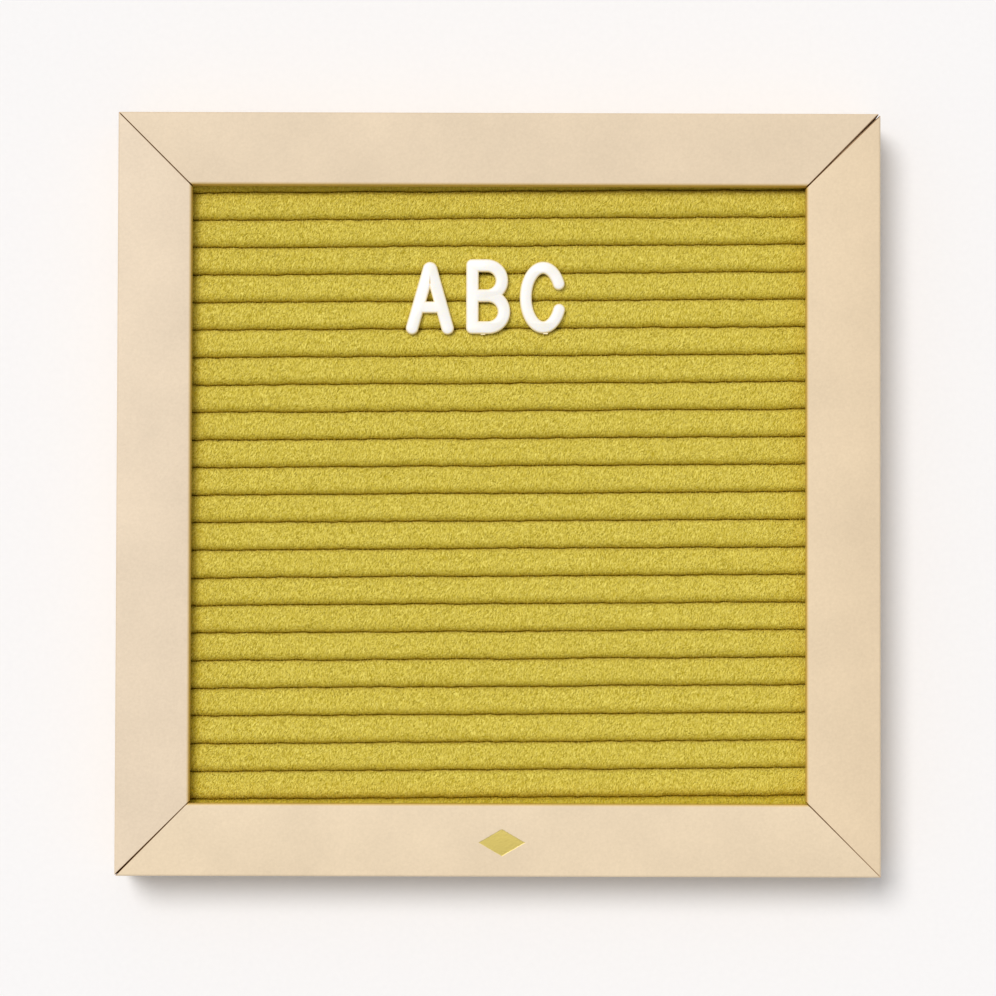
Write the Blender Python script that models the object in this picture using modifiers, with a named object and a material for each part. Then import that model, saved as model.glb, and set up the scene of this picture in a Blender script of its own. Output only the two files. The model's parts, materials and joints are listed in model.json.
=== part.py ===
"""Felt letter board: a grooved felt panel in a mitred, leatherette-wrapped frame.

The board lies on its back. +Z points out of its face, +Y towards the tops of its letters,
and the origin is on the supporting surface under the middle of the board. Lengths are in metres.
"""
import math

import bmesh
import bpy
from mathutils import Matrix, Vector

# Board
BOARD_WIDTH = 0.2032
BOARD_HEIGHT = 0.2032
CLEARANCE = 0.0003

# Rail section, seen from its end
RAIL_FACE = 0.0192
RAIL_DEPTH = 0.0200
LIP_THICKNESS = 0.0050
LIP_REACH = 0.0050
CORE_OUTER_RADIUS = 0.0002
CORE_INNER_RADIUS = 0.0003
WRAP_THICKNESS = 0.0004
WRAP_TURN_IN = 0.0050
LIP_WRAP_MARGIN = 0.0008

# Mitres: a narrow seam through the rail. At the face the wraps stand open by each corner's own
# widths, at the sight edge and at the outer corner, and at two corners so do the cores
MITRE_SEAM = 0.00012
WRAP_OPENINGS = {
    "bottom_right": (0.00024, 0.00016),
    "top_right": (0.00028, 0.00072),
    "top_left": (0.00024, 0.00024),
    "bottom_left": (0.00016, 0.00050),
}
CORE_OPENINGS = {"top_right": 0.00055, "bottom_left": 0.00042}
CORE_OPENING_REACH = 0.0125
OPENING_DEPTH = 0.0045
OPENING_OVERRUN = 0.0010
OPENING_RAISE = 1.2
OPENING_POINT = 0.00001

# Felt and the ribbed board that it is tucked into
GROOVE_PITCH = 0.007376
GROOVE_OFFSET = 0.00019
END_ROLL = 0.0030
GROOVE_GAP = 0.0003
FOLD_DEPTH = 0.0050
FELT_THICKNESS = 0.00125
FELT_BEND_RADIUS = 0.0006
BASE_WEB = 0.0024
PANEL_CLEARANCE = 0.0012
PANEL_TURN = math.radians(0.50)
BACKING_THICKNESS = 0.0025

# Fasteners in the frame
V_NAIL_LEG = 0.0035
V_NAIL_HEIGHT = 0.0080
V_NAIL_THICKNESS = 0.0004
V_NAIL_INSETS = {"outer": 0.0065, "inner": 0.0101}
POINT_WIDTH = 0.0060
POINT_THICKNESS = 0.0005
POINT_BITE = 0.0045
POINT_REACH = 0.0085
POINT_CORNER = 0.0018
POINT_SPACING = 0.0900

# Hanger, its nails and the bumpers
HANGER_LENGTH = 0.0450
HANGER_WIDTH = 0.0080
HANGER_THICKNESS = 0.0008
HANGER_RISE = 0.0010
HANGER_EAR = 0.0085
HANGER_RAMP = 0.0015
TOOTH_PITCH = 0.0022
TOOTH_DEPTH = 0.0014
NAIL_RADIUS = 0.0007
NAIL_HEAD_RADIUS = 0.0018
NAIL_HEAD_HEIGHT = 0.0007
NAIL_LENGTH = 0.0080
BUMPER_RADIUS = 0.0040
BUMPER_STAND = 0.0020
BUMPER_FLAT = 0.0022
BUMPER_FROM_CORNER = 0.0300

# Letters, drawn from the lower groove that they are pushed into, counted from the top groove
LETTER_GROOVE = 5
LETTER_GROOVE_SPAN = 2
LETTER_THICKNESS = 0.0020
LETTER_EDGE_RADIUS = 0.0006
TAB_THICKNESS = 0.0009
TAB_DEPTH = 0.0034
NUB_WIDTH = 0.0011
NUB_STAND = 0.00035
NUB_ROOT = 0.0015
NUB_HEIGHT = 0.0008
A_PLACE = -0.01838
A_STROKE = 0.00309
A_FOOT_SPREAD = 0.00475
A_FOOT_RISE = 0.00006
A_APEX_RISE = 0.01590
A_APEX_RADIUS = 0.00185
A_BAR_LOW = 0.00422
A_BAR_HIGH = 0.00703
A_TABS = ((-0.00475, 0, 0.0022), (0.00475, 0, 0.0022), (0.0, 1, 0.0026))
B_PLACE = -0.00857
B_STROKE = 0.00312
B_CORNER_RADIUS = 0.0015
B_UPPER_BOWL = (0.00540, 0.01273, 0.00560)
B_LOWER_BOWL = (0.00576, 0.00443, 0.00582)
B_TABS = ((0.0060, 0, 0.0030), (0.00152, 1, 0.0022))
B_NUB = 0.0044
C_PLACE = 0.01188
C_STROKE = 0.00295
C_MIDDLE_RISE = 0.00808
C_HALF_WIDTH = 0.00466
C_HALF_HEIGHT = 0.00798
C_UPPER_MOUTH = math.radians(27.3)
C_LOWER_MOUTH = math.radians(24.5)
C_TABS = ((0.0, 0, 0.0030), (-0.0028, 1, 0.0022))
C_NUB = 0.00063

# Heights and places that follow from the sizes above
SKIN = WRAP_THICKNESS + CLEARANCE
FRAME_BACK = BUMPER_STAND
FRAME_FACE = FRAME_BACK + RAIL_DEPTH
CORE_BACK = FRAME_BACK + SKIN
RABBET_WALL = RAIL_FACE - LIP_REACH
FELT_TOP = FRAME_FACE - LIP_THICKNESS - CLEARANCE
RIB_TOP = FELT_TOP - FELT_THICKNESS - CLEARANCE
SLOT_FLOOR = FELT_TOP - FOLD_DEPTH - CLEARANCE
BASE_BOTTOM = SLOT_FLOOR - BASE_WEB
BACKING_TOP = BASE_BOTTOM - CLEARANCE
BACKING_BOTTOM = BACKING_TOP - BACKING_THICKNESS
POINT_MIDDLE = BACKING_BOTTOM - CLEARANCE - POINT_THICKNESS / 2
PANEL_WIDTH = BOARD_WIDTH - 2 * (RABBET_WALL + PANEL_CLEARANCE)
PANEL_HEIGHT = BOARD_HEIGHT - 2 * (RABBET_WALL + PANEL_CLEARANCE)
RIB_WIDTH = GROOVE_PITCH - 2 * FELT_THICKNESS - GROOVE_GAP - 2 * CLEARANCE
LETTER_BACK = FELT_TOP + CLEARANCE
BARE_BACK_MIDDLE = (WRAP_TURN_IN + RABBET_WALL) / 2
CORNERS = tuple(WRAP_OPENINGS)
GROOVES_PER_HALF = int((PANEL_HEIGHT / 2 - GROOVE_OFFSET - END_ROLL) / GROOVE_PITCH)
GROOVE_PLACES = [
    GROOVE_OFFSET + GROOVE_PITCH * k for k in range(-GROOVES_PER_HALF, GROOVES_PER_HALF + 1)
]
LETTER_LINE = GROOVE_PLACES[-1 - LETTER_GROOVE]


for leftover in list(bpy.data.objects):
    bpy.data.objects.remove(leftover)
board = bpy.data.collections.new("felt_letter_board")
cutters = bpy.data.collections.new("cutters")
bpy.context.scene.collection.children.link(board)
bpy.context.scene.collection.children.link(cutters)
board_origin = bpy.data.objects.new("board_origin", None)
panel_origin = bpy.data.objects.new("panel_origin", None)
board.objects.link(board_origin)
board.objects.link(panel_origin)
panel_origin.parent = board_origin
panel_origin.rotation_euler.z = PANEL_TURN


def make_material(name, colour, roughness, metallic=0.0):
    material = bpy.data.materials.new(name)
    material.use_nodes = True
    shader = material.node_tree.nodes["Principled BSDF"]
    shader.inputs["Base Color"].default_value = (*colour, 1.0)
    shader.inputs["Roughness"].default_value = roughness
    shader.inputs["Metallic"].default_value = metallic
    return material


LEATHERETTE = make_material("beige_leatherette", (0.79, 0.62, 0.44), 0.5)
FIBREBOARD = make_material("frame_fibreboard", (0.27, 0.16, 0.09), 0.8)
FELT = make_material("mustard_felt", (0.58, 0.46, 0.07), 0.95)
BASE_PLASTIC = make_material("ribbed_board", (0.10, 0.10, 0.10), 0.6)
HARDBOARD = make_material("backing_hardboard", (0.20, 0.11, 0.05), 0.75)
LETTER_PLASTIC = make_material("letter_plastic", (0.93, 0.89, 0.83), 0.35)
ZINC_STEEL = make_material("zinc_plated_steel", (0.62, 0.62, 0.60), 0.35, 1.0)
BRASSED_STEEL = make_material("brassed_steel", (0.72, 0.55, 0.25), 0.35, 1.0)
RUBBER = make_material("clear_grey_rubber", (0.42, 0.42, 0.42), 0.55)


def arc(centre, radius, start, end, steps):
    """Points along a circle from one angle to another, both ends included, in degrees."""
    turns = [math.radians(start + (end - start) * k / steps) for k in range(steps + 1)]
    return [(centre[0] + radius * math.cos(t), centre[1] + radius * math.sin(t)) for t in turns]


def rounded(corners, radii, closed=False, steps=4):
    """A path through the corners with an arc of its own radius at each of them."""
    path = []
    last = len(corners) - 1
    for index, radius in enumerate(radii):
        here = Vector(corners[index])
        if radius == 0 or (not closed and index in (0, last)):
            path.append(tuple(here))
            continue
        back = (Vector(corners[index - 1]) - here).normalized()
        ahead = (Vector(corners[(index + 1) % len(corners)]) - here).normalized()
        half = back.angle(ahead) / 2
        centre = here + (back + ahead).normalized() * radius / math.sin(half)
        enter = here + back * radius / math.tan(half) - centre
        leave = here + ahead * radius / math.tan(half) - centre
        start = math.degrees(math.atan2(enter.y, enter.x))
        sweep = math.degrees(math.atan2(leave.y, leave.x)) - start
        sweep = (sweep + 180) % 360 - 180
        path += arc(centre, radius, start, start + sweep, steps)
    return path


def curve_mesh(name, outlines, depth, closed=True, edge_radius=0.0):
    """Draw flat outlines in XY, give them a depth along Z about Z = 0, and return a mesh."""
    curve = bpy.data.curves.new(name, "CURVE")
    curve.dimensions = "2D"
    curve.fill_mode = "BOTH" if closed else "NONE"
    curve.extrude = depth / 2 - edge_radius
    curve.bevel_depth = edge_radius
    curve.bevel_resolution = 2
    for outline in outlines:
        spline = curve.splines.new("POLY")
        spline.points.add(len(outline) - 1)
        for point, place in zip(spline.points, outline):
            point.co = (place[0], place[1], 0.0, 1.0)
        spline.use_cyclic_u = closed
    holder = bpy.data.objects.new(name, curve)
    board.objects.link(holder)
    graph = bpy.context.evaluated_depsgraph_get()
    mesh = bpy.data.meshes.new_from_object(holder.evaluated_get(graph))
    bpy.data.objects.remove(holder)
    bpy.data.curves.remove(curve)
    mesh.name = name
    weld = bmesh.new()
    weld.from_mesh(mesh)
    bmesh.ops.remove_doubles(weld, verts=weld.verts, dist=1e-6)
    bmesh.ops.recalc_face_normals(weld, faces=weld.faces)
    weld.to_mesh(mesh)
    weld.free()
    return mesh


def lay_along_x(mesh):
    """Turn a section drawn in XY, deep along Z, so that it lies in YZ and runs along X."""
    mesh.transform(Matrix(((0, 0, 1, 0), (1, 0, 0, 0), (0, 1, 0, 0), (0, 0, 0, 1))))
    return mesh


def solidify(obj, thickness, offset=0.0):
    shell = obj.modifiers.new("thickness", "SOLIDIFY")
    shell.thickness = thickness
    shell.offset = offset
    shell.use_even_offset = True


def subtract(obj, tools):
    """Cut a whole collection of cutters out of a piece."""
    cut = obj.modifiers.new("cut", "BOOLEAN")
    cut.operation = "DIFFERENCE"
    cut.operand_type = "COLLECTION"
    cut.collection = tools


def add_piece(name, mesh, material, parent=board_origin, location=(0, 0, 0), turn=0.0):
    piece = bpy.data.objects.new(name, mesh)
    board.objects.link(piece)
    piece.parent = parent
    piece.location = location
    piece.rotation_euler.z = turn
    mesh.materials.clear()
    mesh.materials.append(material)
    return piece


def add_cutter(name, mesh, group, parent=board_origin, location=(0, 0, 0), turn=0.0):
    tool = bpy.data.objects.new(name, mesh)
    group.objects.link(tool)
    tool.parent = parent
    tool.location = location
    tool.rotation_euler.z = turn
    tool.hide_render = True
    tool.display_type = "WIRE"
    return tool


def cutter_group(name):
    group = bpy.data.collections.new(name)
    cutters.children.link(group)
    return group


def box_mesh(name, low, high):
    mesh = bpy.data.meshes.new(name)
    cube = bmesh.new()
    bmesh.ops.create_cube(cube, size=1.0)
    size = Matrix.Diagonal((*(Vector(high) - Vector(low)), 1))
    place = Matrix.Translation((Vector(high) + Vector(low)) / 2)
    bmesh.ops.transform(cube, verts=cube.verts, matrix=place @ size)
    cube.to_mesh(mesh)
    cube.free()
    return mesh


def turned_piece(name, profile, material, location, parent=board_origin, sides=24):
    """Spin a profile of (radius, height) points, listed from its top down, about Z."""
    mesh = bpy.data.meshes.new(name)
    mesh.from_pydata([(radius, 0, height) for radius, height in profile],
                     [(k, k + 1) for k in range(len(profile) - 1)], [])
    piece = add_piece(name, mesh, material, parent, location)
    spin = piece.modifiers.new("spin", "SCREW")
    spin.steps = sides
    spin.render_steps = sides
    spin.use_merge_vertices = True
    spin.merge_threshold = 1e-5
    return piece


# Rails: a fibreboard core with a lip at the front, wrapped in leatherette

# Each rail's own frame has X along the rail, Y from its outer edge inwards and Z upwards.
# A rail's high end meets the corner of its own index, and its low end the corner before.
RAIL_NAMES = ("bottom_rail", "right_rail", "top_rail", "left_rail")
RAIL_LENGTHS = (BOARD_WIDTH, BOARD_HEIGHT, BOARD_WIDTH, BOARD_HEIGHT)
RAIL_OFFSETS = (BOARD_HEIGHT / 2, BOARD_WIDTH / 2, BOARD_HEIGHT / 2, BOARD_WIDTH / 2)


def rail_place(index):
    """The turn about Z and the location that carry a rail's own frame to its side."""
    turn = index * math.pi / 2
    outward = Vector((math.sin(turn), -math.cos(turn), 0.0))
    return turn, outward * RAIL_OFFSETS[index]


def mitre(mesh, index):
    """Saw both ends of a rail along their diagonals, clear of the rails that they meet."""
    saw = bmesh.new()
    saw.from_mesh(mesh)
    for end in (-1, 1):
        outer = Vector((end * (RAIL_LENGTHS[index] - math.sqrt(2) * MITRE_SEAM) / 2, 0, 0))
        everything = saw.verts[:] + saw.edges[:] + saw.faces[:]
        cut = bmesh.ops.bisect_plane(saw, geom=everything, plane_co=outer, plane_no=(end, 1, 0),
                                     clear_outer=True, dist=1e-7)
        rim = [item for item in cut["geom_cut"] if isinstance(item, bmesh.types.BMEdge)]
        bmesh.ops.holes_fill(saw, edges=rim, sides=0)
    bmesh.ops.recalc_face_normals(saw, faces=saw.faces)
    saw.to_mesh(mesh)
    saw.free()


def opening(index, group, gaps, depth, reach):
    """A wedge along one corner's diagonal, widest at the face, by which the joint stands open."""
    inner_gap, outer_gap = gaps
    half = RAIL_LENGTHS[index] / 2
    points = []
    for inset in (-OPENING_OVERRUN, reach):
        gap = outer_gap + (inner_gap - outer_gap) * inset / reach
        aside = Vector((1, 1, 0)).normalized() * gap / 2
        rise = Vector((0, 0, gap * depth / (max(gaps) - MITRE_SEAM)))
        edge = Vector((half - inset, inset, FRAME_FACE)) - rise
        points += [edge, edge + (rise - aside) * OPENING_RAISE, edge + (rise + aside) * OPENING_RAISE]
    wedge = bpy.data.meshes.new("opening_" + CORNERS[index])
    wedge.from_pydata(points, [], [(0, 2, 1), (3, 4, 5), (0, 1, 4, 3), (0, 3, 5, 2), (1, 2, 5, 4)])
    turn, place = rail_place(index)
    add_cutter(wedge.name, wedge, group, location=place, turn=turn)


def mitre_openings(index):
    """Open one corner's wraps at the face, and where they gape, its cores under them."""
    corner = CORNERS[index]
    opening(index, wrap_cutters, WRAP_OPENINGS[corner], OPENING_DEPTH, RAIL_FACE + OPENING_OVERRUN)
    if corner in CORE_OPENINGS:
        gaps = (OPENING_POINT, CORE_OPENINGS[corner])
        opening(index, core_cutters, gaps, OPENING_DEPTH, CORE_OPENING_REACH)


def rail_core(index):
    """The sawn fibreboard moulding, an L in section, with pockets for its fasteners."""
    front = FRAME_FACE - SKIN
    lip_back = FRAME_FACE - LIP_THICKNESS + SKIN
    corners = (
        (SKIN, CORE_BACK), (SKIN, front), (RAIL_FACE - SKIN, front),
        (RAIL_FACE - SKIN, lip_back), (RABBET_WALL, lip_back), (RABBET_WALL, CORE_BACK),
    )
    radii = (CORE_OUTER_RADIUS, CORE_OUTER_RADIUS, CORE_INNER_RADIUS, CORE_OUTER_RADIUS, 0, 0)
    section = rounded(corners, radii, closed=True)
    mesh = lay_along_x(curve_mesh(RAIL_NAMES[index] + "_core", [section], RAIL_LENGTHS[index]))
    mitre(mesh, index)
    turn, place = rail_place(index)
    core = add_piece(mesh.name, mesh, FIBREBOARD, location=place, turn=turn)
    subtract(core, rail_cutters[index])
    subtract(core, core_cutters)


def rail_wrap(index):
    """The leatherette, glued round the core from the back's edge to under the lip."""
    corners = (
        (WRAP_TURN_IN, FRAME_BACK), (0, FRAME_BACK), (0, FRAME_FACE), (RAIL_FACE, FRAME_FACE),
        (RAIL_FACE, FRAME_FACE - LIP_THICKNESS),
        (RABBET_WALL + LIP_WRAP_MARGIN, FRAME_FACE - LIP_THICKNESS),
    )
    radii = (0, CORE_OUTER_RADIUS + SKIN, CORE_OUTER_RADIUS + SKIN, CORE_INNER_RADIUS + SKIN,
             CORE_OUTER_RADIUS + SKIN, 0)
    path = rounded(corners, radii)
    name = RAIL_NAMES[index] + "_wrap"
    sheet = lay_along_x(curve_mesh(name, [path], RAIL_LENGTHS[index], closed=False))
    turn, place = rail_place(index)
    wrap = add_piece(name, sheet, LEATHERETTE, location=place, turn=turn)
    solidify(wrap, WRAP_THICKNESS, offset=-1.0)
    graph = bpy.context.evaluated_depsgraph_get()
    shell = bpy.data.meshes.new_from_object(wrap.evaluated_get(graph))
    wrap.modifiers.clear()
    wrap.data = shell
    bpy.data.meshes.remove(sheet)
    shell.name = name
    mitre(shell, index)
    subtract(wrap, wrap_cutters)


# Fasteners in the frame's back

def v_nail_mesh(name, grow):
    """A bent steel strip, its two legs square to each other, driven up from the back."""
    leg = V_NAIL_LEG + grow
    path = [(leg, 0), (0, 0), (0, leg)]
    mesh = curve_mesh(name, [path], V_NAIL_HEIGHT + grow, closed=False)
    mesh.transform(Matrix.Translation((0, 0, CORE_BACK + (V_NAIL_HEIGHT + grow) / 2)))
    return mesh


def v_nails(index):
    """Two nested V nails across one corner, opening towards the middle of the board."""
    turn, place = rail_place(index)
    to_board = Matrix.Translation(place) @ Matrix.Rotation(turn, 4, "Z")
    half = RAIL_LENGTHS[index] / 2
    for label, inset in V_NAIL_INSETS.items():
        apex = to_board @ Vector((half - inset, inset, 0))
        name = "v_nail_" + CORNERS[index] + "_" + label
        spot = {"location": apex, "turn": turn + math.pi / 2}
        nail = add_piece(name, v_nail_mesh(name, 0), ZINC_STEEL, **spot)
        solidify(nail, V_NAIL_THICKNESS)
        pocket = v_nail_mesh(name + "_pocket", CLEARANCE)
        pocket.transform(Matrix.Translation((0, 0, -CLEARANCE)))
        for side in (index, (index + 1) % len(RAIL_NAMES)):
            tool = add_cutter(pocket.name, pocket, rail_cutters[side], **spot)
            solidify(tool, V_NAIL_THICKNESS + 2 * CLEARANCE)


def glazing_points(index):
    """Two flat steel points pushed into the rabbet's wall over the backing board."""
    turn, place = rail_place(index)
    to_board = Matrix.Translation(place) @ Matrix.Rotation(turn, 4, "Z")
    half = POINT_WIDTH / 2
    tip = RABBET_WALL - POINT_BITE
    end = RABBET_WALL + POINT_REACH
    corners = ((0, tip), (half, tip + half), (half, end), (-half, end), (-half, tip + half))
    outline = rounded(corners, (0, 0, POINT_CORNER, POINT_CORNER, 0), closed=True)
    for label, along in (("low", -POINT_SPACING / 2), ("high", POINT_SPACING / 2)):
        name = RAIL_NAMES[index] + "_point_" + label
        spot = {"location": to_board @ Vector((along, 0, POINT_MIDDLE)), "turn": turn}
        add_piece(name, curve_mesh(name, [outline], POINT_THICKNESS), ZINC_STEEL, **spot)
        reach = half + CLEARANCE
        thick = POINT_THICKNESS / 2 + CLEARANCE
        pocket = box_mesh(name + "_pocket", (-reach, tip - CLEARANCE, -thick),
                          (reach, RABBET_WALL + PANEL_CLEARANCE, thick))
        add_cutter(pocket.name, pocket, rail_cutters[index], **spot)


# Hanger and bumpers on the frame's back

def hanger_nails(rail, heads):
    """Small round-headed nails, down to their place under the hanger's ears."""
    turn, place = rail_place(rail)
    to_board = Matrix.Translation(place) @ Matrix.Rotation(turn, 4, "Z")
    top = CORE_BACK + NAIL_LENGTH
    under_head = CORE_BACK - HANGER_THICKNESS - 2 * CLEARANCE
    bottom = under_head - NAIL_HEAD_HEIGHT
    profile = ((0, top), (NAIL_RADIUS, top - 2 * NAIL_RADIUS), (NAIL_RADIUS, under_head),
               (NAIL_HEAD_RADIUS, under_head), (NAIL_HEAD_RADIUS, bottom + NAIL_HEAD_HEIGHT / 2),
               (NAIL_HEAD_RADIUS - NAIL_HEAD_HEIGHT, bottom), (0, bottom))
    for label, along in heads:
        spot = to_board @ Vector((along, BARE_BACK_MIDDLE, 0))
        turned_piece("hanger_nail_" + label, profile, BRASSED_STEEL, spot, sides=16)
        hole = bpy.data.meshes.new("nail_hole_" + label)
        drill = bmesh.new()
        bmesh.ops.create_cone(drill, cap_ends=True, segments=16, radius1=NAIL_RADIUS + CLEARANCE,
                              radius2=NAIL_RADIUS + CLEARANCE, depth=2 * NAIL_LENGTH + 2 * CLEARANCE)
        bmesh.ops.translate(drill, verts=drill.verts, vec=(0, 0, CORE_BACK))
        drill.to_mesh(hole)
        drill.free()
        add_cutter(hole.name, hole, rail_cutters[rail], location=spot)
        add_cutter(hole.name, hole, hanger_cutters, location=spot)


def sawtooth_hanger(rail):
    """A pressed strip: flat ears on the rail, a raised middle, and teeth along its lower edge."""
    turn, place = rail_place(rail)
    half = HANGER_LENGTH / 2
    ear = half - HANGER_EAR
    flat = CORE_BACK - CLEARANCE - HANGER_THICKNESS / 2
    raised = flat - HANGER_RISE
    path = ((-half, flat), (-ear, flat), (-ear + HANGER_RAMP, raised),
            (ear - HANGER_RAMP, raised), (ear, flat), (half, flat))
    mesh = curve_mesh("sawtooth_hanger", [path], HANGER_WIDTH, closed=False)
    mesh.transform(Matrix.Rotation(math.pi / 2, 4, "X"))
    mesh.transform(Matrix.Translation((0, BARE_BACK_MIDDLE, 0)))
    hanger = add_piece("sawtooth_hanger", mesh, BRASSED_STEEL, location=place, turn=turn)
    solidify(hanger, HANGER_THICKNESS)
    subtract(hanger, hanger_cutters)
    toothed = 2 * (ear - HANGER_RAMP) - TOOTH_PITCH
    count = int(toothed / TOOTH_PITCH)
    edge = BARE_BACK_MIDDLE + HANGER_WIDTH / 2
    beyond = edge + CLEARANCE
    notch = ((-TOOTH_PITCH / 2, beyond), (0, edge - TOOTH_DEPTH), (TOOTH_PITCH / 2, beyond))
    for k in range(count):
        tool = curve_mesh("tooth_gap", [notch], 2 * (HANGER_THICKNESS + HANGER_RISE))
        shift = (k - (count - 1) / 2) * TOOTH_PITCH
        tool.transform(Matrix.Translation((shift, 0, raised)))
        add_cutter("tooth_gap", tool, hanger_cutters, location=place, turn=turn)


def bumpers(rail):
    """Two stick-on domes, the only pieces that touch what the board lies on."""
    turn, place = rail_place(rail)
    to_board = Matrix.Translation(place) @ Matrix.Rotation(turn, 4, "Z")
    top = CORE_BACK - CLEARANCE
    height = top / 2
    side = arc((BUMPER_FLAT, height), BUMPER_RADIUS - BUMPER_FLAT, 0, -90, 5)
    squash = height / (BUMPER_RADIUS - BUMPER_FLAT)
    dome = [(radius, height + (z - height) * squash) for radius, z in side]
    profile = [(0, top), (BUMPER_RADIUS, top)] + dome + [(0, 0)]
    reach = RAIL_LENGTHS[rail] / 2 - BUMPER_FROM_CORNER
    for label, along in (("low", -reach), ("high", reach)):
        spot = to_board @ Vector((along, BARE_BACK_MIDDLE, 0))
        turned_piece("bumper_" + RAIL_NAMES[rail] + "_" + label, profile, RUBBER, spot)


# Panel: the felt, the ribbed board that it is folded over, and the backing

def groove_fold(place):
    """The felt's middle line down one groove and up again: two shoulders and a tight fold."""
    surface = FELT_TOP - FELT_THICKNESS / 2
    bend = FELT_BEND_RADIUS + FELT_THICKNESS / 2
    fold = GROOVE_GAP / 2 + FELT_THICKNESS / 2
    bottom = FELT_TOP - FOLD_DEPTH + FELT_THICKNESS / 2
    return (arc((place - fold - bend, surface - bend), bend, 90, 0, 4)
            + arc((place, bottom + fold), fold, 180, 360, 6)
            + arc((place + fold + bend, surface - bend), bend, 180, 90, 4))


def felt_sheet():
    """One sheet of felt, pressed down into each slot of the ribbed board, so it lies in rolls."""
    half = PANEL_HEIGHT / 2
    surface = FELT_TOP - FELT_THICKNESS / 2
    path = [(-half, surface)]
    for place in GROOVE_PLACES:
        path += groove_fold(place)
    path.append((half, surface))
    mesh = lay_along_x(curve_mesh("felt_sheet", [path], PANEL_WIDTH, closed=False))
    felt = add_piece("felt_sheet", mesh, FELT, panel_origin)
    solidify(felt, FELT_THICKNESS)
    subtract(felt, tab_pockets)


def ribbed_base():
    """The moulded board: a web with a rib under each roll of felt and a slot under each fold."""
    half = PANEL_HEIGHT / 2
    slot = (GROOVE_PITCH - RIB_WIDTH) / 2
    nose = max(FELT_BEND_RADIUS - CLEARANCE, 0)
    corners = [(-half, BASE_BOTTOM), (-half, RIB_TOP)]
    radii = [0, 0]
    for place in GROOVE_PLACES:
        corners += [(place - slot, RIB_TOP), (place - slot, SLOT_FLOOR),
                    (place + slot, SLOT_FLOOR), (place + slot, RIB_TOP)]
        radii += [nose, 0, 0, nose]
    corners += [(half, RIB_TOP), (half, BASE_BOTTOM)]
    radii += [0, 0]
    comb = rounded(corners, radii, closed=True, steps=2)
    mesh = lay_along_x(curve_mesh("ribbed_base", [comb], PANEL_WIDTH))
    add_piece("ribbed_base", mesh, BASE_PLASTIC, panel_origin)


def backing_board():
    half = Vector((PANEL_WIDTH / 2, PANEL_HEIGHT / 2, 0))
    low = -half + Vector((0, 0, BACKING_BOTTOM))
    high = half + Vector((0, 0, BACKING_TOP))
    add_piece("backing_board", box_mesh("backing_board", low, high), HARDBOARD, panel_origin)


# Letters: strokes of one width, with tabs behind that push into the grooves

def letter_a(inset):
    """Two legs from a rounded apex to round feet, and a bar between them."""
    half = A_STROKE / 2 - inset
    top = A_APEX_RADIUS - inset
    foot = Vector((A_FOOT_SPREAD, A_FOOT_RISE))
    apex = Vector((0, A_APEX_RISE))
    down = foot - apex
    lean = math.atan2(down.x, -down.y) - math.asin((A_APEX_RADIUS - A_STROKE / 2) / down.length)
    normal = Vector((math.cos(lean), math.sin(lean)))

    def inner_leg(height):
        return (foot.dot(normal) - half - height * normal.y) / normal.x

    degrees = math.degrees(lean)
    right = arc(apex, top, 90, degrees, 6) + arc(foot, half, degrees, degrees - 180, 8)
    low = A_BAR_LOW + inset
    high = A_BAR_HIGH - inset
    right.append((inner_leg(low), low))
    outer = right + [(-x, y) for x, y in reversed(right)]
    peak = (foot.dot(normal) - half) / normal.y
    counter = [(inner_leg(high), high), (0, peak), (-inner_leg(high), high)]
    return [outer, counter]


def circles_meet(low, high):
    """The angles, seen from each centre, of the right-hand crossing of two circles."""
    gap = Vector((high[0] - low[0], high[1] - low[1]))
    aim = math.atan2(gap.y, gap.x)
    from_low = math.acos((low[2] ** 2 + gap.length ** 2 - high[2] ** 2) / (2 * low[2] * gap.length))
    from_high = math.acos((high[2] ** 2 + gap.length ** 2 - low[2] ** 2) / (2 * high[2] * gap.length))
    return math.degrees(aim - from_low), math.degrees(aim + math.pi + from_high)


def letter_b(inset):
    """A stem and two round bowls that share their middle bar."""
    low = (*B_LOWER_BOWL[:2], B_LOWER_BOWL[2] - inset)
    high = (*B_UPPER_BOWL[:2], B_UPPER_BOWL[2] - inset)
    leave, enter = circles_meet(low, high)
    corner = B_CORNER_RADIUS - inset
    left = inset + corner
    outer = arc((left, low[1] - low[2] + corner), corner, 180, 270, 4)
    outer += arc(low, low[2], -90, leave, 14)
    outer += arc(high, high[2], enter - 360, 90, 14)
    outer += arc((left, high[1] + high[2] - corner), corner, 90, 180, 4)
    counters = []
    side = B_STROKE - inset
    for bowl in (low, high):
        radius = bowl[2] - B_STROKE + 2 * inset
        stem_side = [(side, bowl[1] + radius), (side, bowl[1] - radius)]
        counters.append(stem_side + arc(bowl, radius, -90, 90, 12))
    return [outer] + counters


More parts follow.
